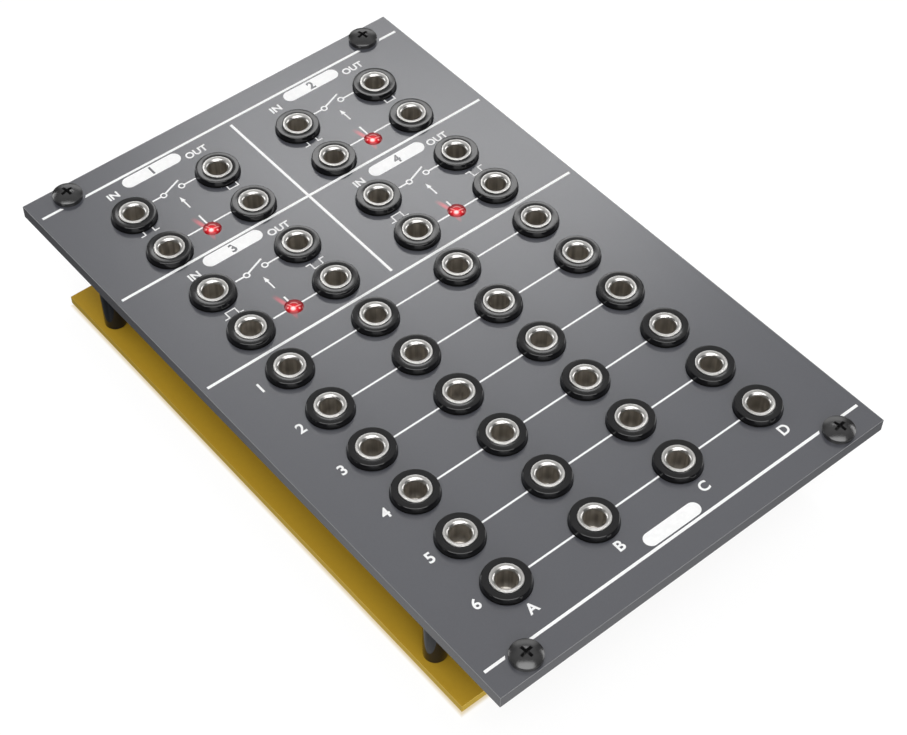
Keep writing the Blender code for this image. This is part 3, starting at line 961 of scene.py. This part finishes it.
class MODULE_OT_faceplate(Operator):
    """Build the painted faceplate with its holes and slots"""

    bl_idname = "module.faceplate"
    bl_label = "Faceplate"

    def execute(self, context):
        settings = context.scene.module_panel
        paint = panel_paint(settings)
        size = PANEL_HIGH - PANEL_LOW
        screws = [centre_of(name) for name in at_corners("mounting_screw")]
        start = bpy.data.meshes.new("faceplate")
        mesh = run_recipe("faceplate", start, plate_recipe(), {
            "Width": size.x,
            "Height": size.y,
            "Thickness": size.z,
            "Jack Hole": settings.jack_hole,
            "LED Hole": settings.led_hole,
            "Slot Length": settings.slot_length,
            "Slot Width": settings.slot_width,
            "Hole Sides": 40,
            "Jacks": points_object("jack_points", [jack_centre(name) for name in JACKS]),
            "LEDs": points_object("led_points", [centre_of(name) for name in LEDS]),
            "Slots": points_object("slot_points", screws),
            "Material": paint,
        })
        mesh.transform(Matrix.Translation((0, 0, PANEL_BACK)))
        mesh.shade_smooth()
        mesh.set_sharp_from_angle(angle=math.radians(40))
        self.mark_rim(mesh, size / 2)
        plate = helper("faceplate", mesh)
        add_modifier(plate, "BEVEL", width=settings.edge_round, segments=3, limit_method="WEIGHT")
        add_modifier(plate, "WEIGHTED_NORMAL", keep_sharp=True)
        mesh = baked(plate, clean=False)
        piece("faceplate", mesh, paint, stands_for=["front_panel"], slot="panel_grey", smooth=None)
        return {"FINISHED"}

    def mark_rim(self, mesh, half):
        """Marks the edges round the plate, which are the ones that are rounded."""
        near = 0.01 * MM
        weights = mesh.attributes.new("bevel_weight_edge", "FLOAT", "EDGE")
        for edge in mesh.edges:
            ends = [mesh.vertices[index].co for index in edge.vertices]
            across = all(abs(end.x) > half.x - near for end in ends)
            along = all(abs(end.y) > half.y - near for end in ends)
            if across or along:
                weights.data[edge.index].value = 1.0
                edge.use_edge_sharp = False


class MODULE_OT_print(Operator):
    """Build the white print: lines, switch symbols, arrows, pulses, numbers and letters"""

    bl_idname = "module.print"
    bl_label = "Print"

    def execute(self, context):
        settings = context.scene.module_panel
        thin = settings.thin_line
        letters = -55.4 * MM
        bar = pill_outline((0.05 * MM, -57.55 * MM), length=11.5 * MM, height=2.6 * MM)
        work = Print(PANEL_FRONT + settings.ink_height)
        self.dividers(work, settings.thick_line)
        for gate in GATES:
            self.gate(work, gate, thin)
        for row in ROWS:
            self.linked_row(work, row, thin)
        for letter in COLUMNS:
            place = jack_centre(f"jack_6_{letter}")
            work.words(letter.upper(), (place.x, letters), height=1.95 * MM, weight=0.026)
        work.filled([bar])
        mesh = work.sheet("panel_print", settings.ink_height, -1)
        piece("panel_print", mesh, white_ink(settings), smooth=30)
        return {"FINISHED"}

    def dividers(self, work, thick):
        """The frame lines, stopped short of the screws, and the lines between the cells."""
        right = 39.4 * MM
        clear = 3.1 * MM
        top, middle, lower, bottom = 59.35 * MM, 34.57 * MM, 9.8 * MM, -59.4 * MM
        screws = [centre_of(name) for name in at_corners("mounting_screw")]
        for level, pair in ((top, screws[:2]), (bottom, screws[2:])):
            low, high = span(level, thick / 2)
            ends = [[-right, -right]]
            for screw in pair:
                chords = [math.sqrt(clear ** 2 - (edge - screw.y) ** 2) for edge in (low, high)]
                ends.append([screw.x - chord for chord in chords])
                ends.append([screw.x + chord for chord in chords])
            ends.append([right, right])
            for start, stop in zip(ends[::2], ends[1::2]):
                work.polygon([(start[0], low), (stop[0], low), (stop[1], high), (start[1], high)])
        for level in (middle, lower):
            work.stroke([(-right, level), (right, level)], thick)
        for start, stop in ((58.06 * MM, 34.8 * MM), (34.34 * MM, 11.2 * MM)):
            work.stroke([(0, start), (0, stop)], thick)

    def gate(self, work, gate, thin):
        """One gate cell: switch symbol, arrow, pulses, its number and the words at its sockets."""
        inlet = jack_centre(f"gate_{gate}_in_jack")
        outlet = jack_centre(f"gate_{gate}_out_jack")
        pulse = jack_centre(f"gate_{gate}_pulse_jack")
        led = centre_of(f"gate_{gate}_led")
        in_top_row = gate < 3
        rise = 1.2 * MM if in_top_row else 0.0
        upper = inlet.y + rise
        lower = pulse.y + rise
        middle = led.x
        start = inlet.x + 4.6 * MM
        stop = outlet.x - 4.0 * MM

        contact, contact_line = 0.52 * MM, 0.26 * MM
        clear = contact + 0.115 * MM
        first = middle - 1.94 * MM
        second = middle + 1.9 * MM
        lever = [(middle - 1.37 * MM, upper + 0.27 * MM), (middle + 2.23 * MM, upper + 1.6 * MM)]
        work.stroke([(start, upper), (first - clear, upper)], thin)
        work.ring((first, upper), contact, contact_line)
        work.stroke(lever, thin)
        work.ring((second, upper), contact, contact_line)
        work.stroke([(second + clear, upper), (stop, upper)], thin)

        tip = upper - 2.1 * MM
        barbs = tip - 1.24 * MM
        half = 0.42 * MM
        stem_end, stem_width = upper - 5.37 * MM, 0.28 * MM
        work.stroke([(middle, barbs), (middle, stem_end)], stem_width)
        work.polygon([(middle, tip), (middle - half, barbs), (middle + half, barbs)])
        lead_start, lead_end = lower + 2.85 * MM, led.y + 1.2 * MM
        work.stroke([(middle, lead_start), (middle, lead_end)], thin)
        led_gap = 1.67 * MM
        reach = math.sqrt(max(led_gap ** 2 - (lower - led.y) ** 2, 0))
        work.stroke([(start, lower), (middle - reach, lower)], thin)
        work.stroke([(middle + reach, lower), (stop, lower)], thin)

        low, high, pulse_width = lower + 4.7 * MM, lower + 6.05 * MM, 0.25 * MM
        for column, outer, inner in ((inlet.x, low, high), (outlet.x, high, low)):
            steps = ((-1.87, outer), (-0.93, outer), (-0.93, inner),
                     (0.97, inner), (0.97, outer), (1.9, outer))
            work.stroke([(column + aside * MM, level) for aside, level in steps], pulse_width)

        level = (56.3 if in_top_row else 31.5) * MM
        for word, place, width in (("IN", inlet, 2.1 * MM), ("OUT", outlet, 4.45 * MM)):
            work.words(word, (place.x, level), height=1.6 * MM, width=width, weight=0.028)
        pill = (57.4 * MM, 57.4 * MM, 32.7 * MM, 32.0 * MM)[gate - 1]
        number = letter_loops(str(gate), (middle, pill), height=2.0 * MM, weight=0.035)
        work.filled([pill_outline((middle, pill), length=12.1 * MM, height=2.7 * MM), *number])

    def linked_row(self, work, row, thin):
        """A numbered row: the lines that join its four jacks."""
        clear = 4.0 * MM
        places = [jack_centre(f"jack_{row}_{letter}") for letter in COLUMNS]
        for left, right in zip(places, places[1:]):
            work.stroke([(left.x + clear, left.y), (right.x - clear, right.y)], thin)
        numbers = -32.7 * MM
        work.words(str(row), (numbers, places[0].y), height=2.06 * MM, weight=0.021)


class MODULE_OT_jacks(Operator):
    """Build the jack sockets: ring nuts, bright barrels, bores, housings, contacts and solder joints"""

    bl_idname = "module.jacks"
    bl_label = "Jack sockets"

    def execute(self, context):
        settings = context.scene.module_jacks
        places = [jack_centre(name) for name in JACKS]
        rim = settings.nut_height + settings.lip_rise
        shelf = rim - settings.mouth_depth
        lip = settings.lip_diameter / 2
        bore = settings.bore_diameter / 2
        self.nuts(settings, places, lip)
        self.barrels(settings, places, lip, bore, rim, shelf)
        self.bores(places, bore, shelf)
        self.housings(places)
        self.contacts(places)
        return {"FINISHED"}

    def nuts(self, settings, places, lip):
        """The ring nuts, polished and bevelled, and the dull washers under them."""
        top = settings.nut_height
        edge = settings.nut_edge
        drop = edge * 0.57
        foot = 0.32 * MM
        hole = lip + 0.05 * MM
        crown = NUT_RADIUS - 0.2 * MM
        nut = rounded([
            (hole, foot, 0), (hole, top, 0.05 * MM), (crown - edge, top, 0.03 * MM),
            (crown, top - drop, 0.05 * MM), (NUT_RADIUS - 0.03 * MM, foot, 0.05 * MM),
        ], 0, closed=True)
        gap = 0.01 * MM
        inside = lip + 0.2 * MM
        washer = [(inside, gap), (inside, foot - gap), (NUT_RADIUS, foot - gap), (NUT_RADIUS, gap)]
        on_panel = {"closed": True, "height": PANEL_FRONT, "smooth": 35}
        turned_piece("nut_washers", washer, places, washer_black(), settings.sides, **on_panel)
        turned_piece("ring_nuts", nut, places, gloss_black(settings), settings.sides, **on_panel,
                     stands_for=JACKS, slot="jack_black")

    def barrels(self, settings, places, lip, bore, rim, shelf):
        """The bright barrels: a round lip, and a mouth that flares down to the bore."""
        crest = lip - 0.16 * MM
        foot = -2.2 * MM
        edge = shelf - 0.12 * MM
        line = rounded([
            (lip + 0.12 * MM, foot, 0), (lip + 0.12 * MM, 0.1 * MM, 0), (lip, 0.4 * MM, 0),
            (lip, rim, 0.15 * MM), (crest, rim, 0),
        ], 0, steps=6)[:-1]
        steps = 9
        for step in range(steps + 1):
            turn = math.pi / 2 * step / steps
            line.append((crest - (crest - bore) * math.sin(turn), shelf + (rim - shelf) * math.cos(turn)))
        line += [(bore, edge), (bore + 0.1 * MM, edge), (bore + 0.1 * MM, foot)]
        turned_piece("jack_barrels", line, places, bright_plate(), settings.sides, closed=True,
                     height=PANEL_FRONT, stands_for=JACKS, smooth=30)

    def bores(self, places, bore, shelf):
        """The plug's bore, with the step where the tip's spring begins, and its floor."""
        start = shelf - 0.12 * MM
        deep = shelf - 4.5 * MM
        floor = -11.0 * MM
        under = floor - 0.1 * MM
        outside, wide, narrow = bore + 0.09 * MM, bore + 0.005 * MM, bore - 0.25 * MM
        line = [(outside, start), (wide, start), (wide, deep), (narrow, deep - 0.2 * MM), (narrow, floor),
                (0, floor), (0, under), (outside, under)]
        turned_piece("jack_bores", line, places, bore_metal(), sides=36, height=PANEL_FRONT, smooth=35)

    def housings(self, places):
        """The black moulded housings between the panel and the board, each drilled for its bore."""
        low = JACK_LOW.z - 0.28 * MM
        high = PANEL_BACK - 0.05 * MM
        half = (JACK_HIGH.x - JACK_LOW.x) / 2
        front, back = HOUSING_FRONT, 3.15 * MM
        shoulder = 0.7 * MM
        foot = 0.7 * MM
        inset = 1.0 * MM
        boxes = [
            (span(0, half), (front, back), (low + 0.5 * MM, high - 0.6 * MM)),
            (span(0, half - shoulder), (front + shoulder, back - 0.4 * MM), (high - 0.62 * MM, high)),
        ]
        boxes += [(span(x, foot), span(y, foot), (low, low + 0.55 * MM))
                  for x in span(0, half - inset) for y in (front + inset, back - inset)]
        block = helper("jack_housing", box_mesh("jack_housing", boxes, 0.18 * MM, segments=2))
        drill = bmesh.new()
        radius = 2.0 * MM
        bmesh.ops.create_cone(drill, cap_ends=True, segments=32, radius1=radius, radius2=radius,
                              depth=20 * MM, matrix=Matrix.Translation((0, 0, PANEL_FRONT)))
        cutter = helper("bore_drill", mesh_of("bore_drill", drill))
        add_modifier(block, "BOOLEAN", object=cutter, solver="EXACT", use_self=True)
        mesh = baked(block, clean=False)
        spread_piece("jack_housings", mesh, places, plain_finish("moulded_black"), smooth=35)
        bpy.data.objects.remove(cutter)

    def contacts(self, places):
        """The contact springs at each housing's sides, and the solder joints of the pins."""
        front = HOUSING_FRONT
        tin = plain_finish("solder_tin")
        strips = [
            (span(0, 1.4 * MM), (front - 0.06 * MM, front + 0.14 * MM),
             (BOARD_FRONT, PANEL_BACK - 3.2 * MM)),
            (span(0, 0.55 * MM), (3.0 * MM, 3.2 * MM), (BOARD_FRONT, PANEL_BACK - 6.5 * MM)),
            ((-4.52 * MM, -4.44 * MM), (-2.3 * MM, -0.9 * MM),
             (BOARD_FRONT + 1.2 * MM, PANEL_BACK - 4.0 * MM)),
        ]
        mesh = box_mesh("jack_contacts", strips, 0.03 * MM)
        spread_piece("jack_contacts", mesh, places, tin, smooth=35)

        pads = [(place.x + x, place.y + y) for place in places for x, y in PINS]
        slope = ((0, -0.55), (0.28, -0.52), (0.34, -0.3), (0.6, -0.1), (0.95, -0.02),
                 (0.95, 0.05), (0, 0.05))
        joint = [(radius * MM, BOARD_BACK + height * MM) for radius, height in slope]
        turned_piece("solder_joints", joint, pads, tin, sides=12, smooth=50)


class MODULE_OT_leds(Operator):
    """Build the lit red LEDs, with flange and legs"""

    bl_idname = "module.leds"
    bl_label = "LEDs"

    def execute(self, context):
        places = [centre_of(name) for name in LEDS]
        radius = 1.63 * MM
        rise = 0.6 * MM
        flange = 2.25 * MM
        edge = 0.1 * MM
        low = PANEL_BACK - PANEL_FRONT - 1.05 * MM
        high = low + 1.0 * MM
        outline = dome_line(radius, rise, rise) + [
            (radius, high), (flange - edge, high), (flange, low + 0.9 * MM),
            (flange, low + edge), (flange - edge, low), (0, low),
        ]
        turned_piece("led_lenses", outline, places, red_lens(), sides=48, height=PANEL_FRONT,
                     stands_for=LEDS, slot="led_red", smooth=40)
        half = 0.25 * MM
        height = (BOARD_BACK - 0.4 * MM, PANEL_FRONT + low + 0.1 * MM)
        legs = [(span(x, half), span(0, half), height) for x in span(0, 1.27 * MM)]
        mesh = box_mesh("led_legs", legs, 0.05 * MM)
        spread_piece("led_legs", mesh, places, plain_finish("solder_tin"), smooth=35)
        return {"FINISHED"}


class MODULE_OT_mounting_screws(Operator):
    """Build the four black mounting screws, each on its own turning body"""

    bl_idname = "module.mounting_screws"
    bl_label = "Mounting screws"

    def execute(self, context):
        black = plain_finish("screw_black")
        head = (HEAD_HIGH.x - HEAD_LOW.x) / 2
        top = HEAD_HIGH.z - PANEL_FRONT
        end = HEAD_LOW.z - PANEL_FRONT
        side = 0.82 * MM
        low = 0.01 * MM
        edge = 0.04 * MM
        dome = dome_line(head, top - side, top)
        outline = dome[:-1] + rounded([dome[-2], (head, side, edge), (head - edge, low)], 0)[1:]
        shank, groove, pitch = 1.45 * MM, 0.25 * MM, 0.5 * MM
        outline.append((shank, low))
        thread = low - 0.4 * MM
        while thread > end + 0.6 * MM:
            outline += [(shank, thread), (shank - groove, thread - pitch / 2)]
            thread -= pitch
        outline += [(shank - 0.3 * MM, end + 0.2 * MM), (shank - 0.6 * MM, end), (0, end)]
        for corner in CORNERS:
            node = f"mounting_screw_{corner}"
            turned_piece(f"{node}_finish", outline, [centre_of(node)], black, sides=64,
                         height=PANEL_FRONT, cutter=self.recess(top), body=f"{corner}_screw",
                         stands_for=[node], slot="black_metal", smooth=35)
        return {"FINISHED"}

    def recess(self, top):
        """The cross recess, narrower with depth, as a cutting shape at the screw's own origin."""
        bm = bmesh.new()
        long, thin, depth = 1.3 * MM, 0.3 * MM, 0.95 * MM
        arm = [(long, thin), (thin, thin), (thin, long), (-thin, long), (-thin, thin), (-long, thin)]
        corners = arm + [(-x, -y) for x, y in arm]
        upper, lower = [
            [bm.verts.new((x * share, y * share, height)) for x, y in corners]
            for share, height in ((1.06, top + 0.4 * MM), (0.62, top - depth))
        ]
        bm.faces.new(upper)
        bm.faces.new(lower[::-1])
        for index in range(len(corners)):
            after = (index + 1) % len(corners)
            bm.faces.new([lower[index], lower[after], upper[after], upper[index]])
        bmesh.ops.recalc_face_normals(bm, faces=bm.faces)
        turn = Matrix.Rotation(math.radians(8), 3, "Z")
        bmesh.ops.rotate(bm, verts=bm.verts, cent=(0, 0, 0), matrix=turn)
        return helper("recess", mesh_of("recess", bm))


class MODULE_OT_board(Operator):
    """Finish the circuit board, its traces, standoffs and screws"""

    bl_idname = "module.board"
    bl_label = "Circuit board"

    def execute(self, context):
        settings = context.scene.module_board
        board = frame["nodes"]["circuit_board"]
        board.data.materials.clear()
        board.data.materials.append(mustard_board(settings))
        self.traces(settings)
        places = [centre_of(name) for name in at_corners("standoff")]
        tall = PANEL_BACK - BOARD_FRONT
        radius = 2.0 * MM
        edge = 0.15 * MM
        outline = rounded([(0, tall), (radius, tall, edge), (radius, 0, edge), (0, 0)], 0, steps=3)
        turned_piece("standoffs", outline, places, plain_finish("standoff_black"), sides=40,
                     height=BOARD_FRONT, stands_for=at_corners("standoff"), slot="black_metal", smooth=35)

        recess, recess_depth, head = 0.75 * MM, 0.3 * MM, 2.5 * MM
        outline = rounded([
            (0, recess_depth), (recess, recess_depth), (recess, 0, 0.04 * MM), (head, 0, edge),
            (head, BOARD_BACK, 0.05 * MM), (0, BOARD_BACK),
        ], 0, steps=3)
        turned_piece("board_screws", outline, places, plain_finish("screw_black"), sides=40,
                     stands_for=at_corners("board_screw"), slot="black_metal", smooth=35)
        return {"FINISHED"}

    def traces(self, settings):
        """Copper traces under the mask on the board's back, which link each row's four jacks."""
        work = Print(BOARD_BACK - 0.03 * MM)
        width = settings.trace_width
        sleeve, tip = -5.65 * MM, 3.1 * MM
        for row in ROWS:
            line = [jack_centre(f"jack_{row}_{letter}") for letter in COLUMNS]
            for shift in (sleeve, tip):
                work.stroke([(place.x, place.y + shift) for place in line], width)
        aside, down, end = 7.3 * MM, 2 * MM, 6 * MM
        for gate in GATES:
            for kind in ("in", "pulse"):
                place = jack_centre(f"gate_{gate}_{kind}_jack")
                start = place.y + tip
                work.stroke([(place.x, start), (place.x + down, start - down),
                             (place.x + aside, start - down), (place.x + aside, start - end)], width)
        piece("board_traces", work.sheet("board_traces", 0.04 * MM, 1), masked_copper(settings))


class MODULE_OT_board_parts(Operator):
    """Build the switch chip, the power socket and the small parts on the board"""

    bl_idname = "module.board_parts"
    bl_label = "Parts on the board"

    def execute(self, context):
        self.chip()
        self.power_socket()
        self.small_parts()
        return {"FINISHED"}

    def chip(self):
        """The switch chip's body and its gull-wing leads."""
        middle = centre_of("switch_chip")
        long, wide = 4.95 * MM, 1.95 * MM
        low = BOARD_FRONT + 0.12 * MM
        body = [(span(middle.x, wide), span(middle.y, long), (low, CHIP_HIGH.z - 0.05 * MM))]
        mesh = box_mesh("chip_body", body, 0.16 * MM, segments=2)
        piece("chip_body", mesh, plain_finish("chip_epoxy"), stands_for=["switch_chip"], slot="chip_black")
        # Each lead has three boxes, given by how far they reach out in millimetres and by their heights.
        bends = (
            ((-0.1, 0.45), (low + 0.5 * MM, low + 0.7 * MM)),
            ((0.28, 0.46), (BOARD_FRONT + 0.02 * MM, low + 0.68 * MM)),
            ((0.3, 1.05), (BOARD_FRONT, BOARD_FRONT + 0.2 * MM)),
        )
        pitch, half = 1.27 * MM, 0.21 * MM
        leads = []
        for index in range(8):
            along = span(middle.y + (index - 3.5) * pitch, half)
            for side in (-1, 1):
                edge = middle.x + side * wide
                for reach, height in bends:
                    leads.append(([edge + side * out * MM for out in reach], along, height))
        piece("chip_leads", box_mesh("chip_leads", leads, 0.04 * MM), plain_finish("solder_tin"))

    def power_socket(self):
        """The side-entry power socket at the board's top edge, with its pins."""
        low, high = SOCKET_LOW, SOCKET_HIGH
        floor = BOARD_FRONT + 0.02 * MM
        wall = 0.75 * MM
        back = high.y - 5.6 * MM
        across, along, tall = (low.x, high.x), (low.y, high.y), (floor, high.z)
        walls = [
            (across, (low.y, back), tall),
            (across, along, (floor, floor + wall)),
            (across, along, (high.z - wall, high.z)),
            ((low.x, low.x + wall), along, tall),
            ((high.x - wall, high.x), along, tall),
        ]
        shell = box_mesh("power_socket_shell", walls, 0.14 * MM, segments=2)
        piece("power_socket_shell", shell, plain_finish("white_nylon"), stands_for=["power_socket"],
              slot="white_nylon")
        middle = (floor + high.z) / 2
        half, pitch = 0.3 * MM, 2.0 * MM
        outside = low.y - 0.9 * MM
        level = span(middle, half)
        pins = []
        for index in (-1, 0, 1):
            across = span(index * pitch, half)
            pins += [
                (across, (back - 0.2 * MM, high.y - 1.0 * MM), level),
                (across, (outside, low.y + 0.1 * MM), level),
                (across, (outside, low.y - 0.3 * MM), (BOARD_BACK - 0.4 * MM, middle + half)),
            ]
        mesh = box_mesh("power_socket_pins", pins, 0.06 * MM)
        piece("power_socket_pins", mesh, plain_finish("solder_tin"))

    def small_parts(self):
        """Two rows of small resistors at each gate's LED."""
        pitch = 1.9 * MM
        spots = []
        for gate in GATES:
            led = centre_of(f"gate_{gate}_led")
            spots += [(led.x + index * pitch, led.y + row)
                      for index in range(-2, 3) for row in (5.2 * MM, -3.6 * MM)]
        low = BOARD_FRONT
        core = [(span(0, 0.42 * MM), span(0, 0.6 * MM), (low, low + 0.45 * MM))]
        caps = [(span(0, 0.43 * MM), span(y, 0.2 * MM), (low, low + 0.47 * MM)) for y in span(0, 0.65 * MM)]
        kinds = (("resistors", core, "resistor_body"), ("resistor_ends", caps, "solder_tin"))
        for name, boxes, finish in kinds:
            spread_piece(name, box_mesh(name, boxes, 0.05 * MM), spots, plain_finish(finish))


class MODULE_OT_stage(Operator):
    """Build the floor, the soft studio light and the camera"""

    bl_idname = "module.stage"
    bl_label = "Stage"

    def execute(self, context):
        settings = context.scene.module_stage
        scene = context.scene
        self.floor()
        self.room(scene, settings)
        # Bearing and height in degrees, distance, width and height in metres, and brightness.
        side = (2.2, (1.4, 0.55), settings.side_strength)
        self.softbox("key_softbox", 39.5, 43.5, 10.0, (2.69, 0.87), settings.key_strength)
        self.softbox("top_softbox", 219, 66, 2.2, (2.4, 1.26), settings.top_strength)
        self.softbox("front_softbox", 203, 20, 2.2, (2.2, 0.8), settings.front_strength)
        self.softbox("left_softbox", 335, 21, *side)
        self.softbox("right_softbox", 104, 21, *side)
        self.camera(scene, settings)
        scene.view_settings.view_transform = "Standard"
        return {"FINISHED"}

    def floor(self):
        """A white floor that shows a faint reflection of what stands on it, with the board's reflection also
        painted in.
        """
        finish = Finish("floor_white")
        tree = finish.tree
        mottle = finish.noise(30, 2.0)
        x, y, _ = finish.split(finish.place())
        seen = finish.node("LightPath", output="Is Camera Ray")
        # The camera sees the floor evenly white, tinted under the board and just beyond its edges by a
        # painted reflection of the board. All else is lit by it only from a pool round the board's near left
        # corner.
        aside = x - BOARD_LOW.x
        below = (y - BOARD_LOW.y) * 1.4
        pool = ((aside * aside + below * below) ** 0.5).fade(0.0, 0.16, 0.42, 0.0)
        middle = (BOARD_LOW + BOARD_HIGH) / 2
        half = (BOARD_HIGH - BOARD_LOW) / 2
        beside = ((x - middle.x).size() - half.x).most((y - middle.y).size() - half.y)
        painted_board_reflection = beside.fade(-0.2 * MM, 0.55 * MM, 1, 0)
        tinted = finish.blend(painted_board_reflection, (1.0, 1.0, 1.0), (0.77, 0.66, 0.46))
        strength = seen * (pool * -1 + 0.94) + pool
        glow = finish.node("Emission", inputs={"Color": tinted, "Strength": strength})
        white = finish.node("BsdfDiffuse", inputs={"Color": (0.14, 0.14, 0.14)})
        lit = finish.node("AddShader", inputs={0: glow, 1: white})
        mirror = finish.node("BsdfGlossy", inputs={"Roughness": mottle * 0.02 + 0.14})
        both = finish.node("MixShader", inputs={0: 0.06, 1: lit, 2: mirror})
        tree.links.new(both.socket, tree.nodes["Material Output"].inputs["Surface"])
        tree.nodes.remove(finish.shader)
        low = -0.01 * MM
        reach = 4.0
        corners = [(x, y, low) for x, y in (
            (-reach, -reach), (reach, -reach), (reach, reach), (-reach, reach))]
        mesh = bpy.data.meshes.new("floor")
        mesh.from_pydata(corners, [], [(0, 1, 2, 3)])
        mesh.materials.append(finish.material)
        helper("floor", mesh)

    def room(self, scene, settings):
        """A bright backdrop beyond the module, dim sides, soft light overhead, and white for the camera."""
        world = bpy.data.worlds.new("white_room")
        finish = Finish("white_room", world)
        x, y, z = finish.split(finish.node("TexCoord", output="Generated"))
        right = (x * math.cos(VIEW_TURN) - y * math.sin(VIEW_TURN)).size()
        away = x * math.sin(VIEW_TURN) + y * math.cos(VIEW_TURN)
        flat = (right * right + away * away) ** 0.5 + 0.001
        overhead = z.fade(0.05, 0.7, 0.2, 1.0) * away.fade(-0.3, 0.4, 0.2, 1.0)
        sides = (right / flat).fade(0.35, 0.7, 0.0, 0.85) * z.fade(0.45, 0.85, 1.0, 0.0)
        backdrop = (away / flat).fade(0.87, 0.97) * z.fade(0.42, 0.5, 1.0, 0.0)
        strength = overhead * (sides * -1 + 1) * settings.room_strength
        strength = strength + backdrop * settings.backdrop_strength
        seen = finish.node("LightPath", output="Is Camera Ray")
        finish.join(finish.shader.inputs["Color"], (1.0, 1.0, 1.0))
        finish.join(finish.shader.inputs["Strength"], strength.most(seen))
        scene.world = world

    def softbox(self, name, azimuth, elevation, distance, size, strength):
        """A rectangular light seen from the panel at a bearing from +Y towards +X, and a height."""
        light = bpy.data.lights.new(name, "AREA")
        light.shape = "RECTANGLE"
        light.size, light.size_y = size
        light.energy = strength * math.pi * size[0] * size[1]
        bearing, height = math.radians(azimuth), math.radians(elevation)
        way = Vector((math.sin(bearing) * math.cos(height), math.cos(bearing) * math.cos(height),
                      math.sin(height)))
        lamp = bpy.data.objects.new(name, light)
        lamp.location = Vector((0, 0, PANEL_FRONT)) + way * distance
        lamp.rotation_euler = way.to_track_quat("Z", "Y").to_euler()
        bpy.context.scene.collection.objects.link(lamp)

    def camera(self, scene, settings):
        """The camera at the photograph's viewing angle, whose frame is shifted to hold the whole module."""
        # Where the camera is from the middle of the panel's front, and how far it looks down and aside.
        left, back, up = -0.140193, -0.169482, 0.243969
        down, aside = 51.226, 39.387
        camera = bpy.data.cameras.new("camera")
        camera.sensor_width = 36.0
        camera.lens = settings.lens
        camera.shift_x, camera.shift_y = 0.02736, 0.05788
        camera.clip_start, camera.clip_end = 0.01, 20.0
        eye = bpy.data.objects.new("camera", camera)
        eye.location = (left, back, PANEL_FRONT + up)
        eye.rotation_euler = (math.radians(90 - down), 0, math.radians(-aside))
        scene.collection.objects.link(eye)
        scene.camera = eye


OPERATORS = (
    MODULE_OT_faceplate,
    MODULE_OT_print,
    MODULE_OT_jacks,
    MODULE_OT_leds,
    MODULE_OT_mounting_screws,
    MODULE_OT_board,
    MODULE_OT_board_parts,
    MODULE_OT_stage,
)
SETTINGS = {
    "module_panel": PanelSettings,
    "module_jacks": JackSettings,
    "module_board": BoardSettings,
    "module_stage": StageSettings,
}


class MODULE_PT_sidebar(Panel):
    """The module's pieces and settings in the sidebar"""

    bl_label = "Eurorack module"
    bl_space_type = "VIEW_3D"
    bl_region_type = "UI"
    bl_category = "Module"

    def draw(self, context):
        layout = self.layout
        for operator in OPERATORS:
            layout.operator(operator.bl_idname)
        for name, group in SETTINGS.items():
            box = layout.box()
            settings = getattr(context.scene, name)
            for field in group.__annotations__:
                box.prop(settings, field)


def register():
    """Makes the settings, operators and panel known to Blender."""
    for group in SETTINGS.values():
        bpy.utils.register_class(group)
    for operator in OPERATORS:
        bpy.utils.register_class(operator)
    bpy.utils.register_class(MODULE_PT_sidebar)
    for name, group in SETTINGS.items():
        setattr(bpy.types.Scene, name, PointerProperty(type=group))


def unregister():
    """Takes them away again."""
    for name in SETTINGS:
        delattr(bpy.types.Scene, name)
    bpy.utils.unregister_class(MODULE_PT_sidebar)
    for operator in reversed(OPERATORS):
        bpy.utils.unregister_class(operator)
    for group in reversed(list(SETTINGS.values())):
        bpy.utils.unregister_class(group)


def main():
    """Clears away old lights, cameras and the default cube, and builds everything in order."""
    for old in list(bpy.data.objects):
        if old.type in {"LIGHT", "CAMERA"} or old.name == "Cube":
            bpy.data.objects.remove(old)
    register()
    for step in ("faceplate", "print", "jacks", "leds", "mounting_screws", "board", "board_parts", "stage"):
        getattr(bpy.ops.module, step)()


if __name__ == "__main__":
    main()
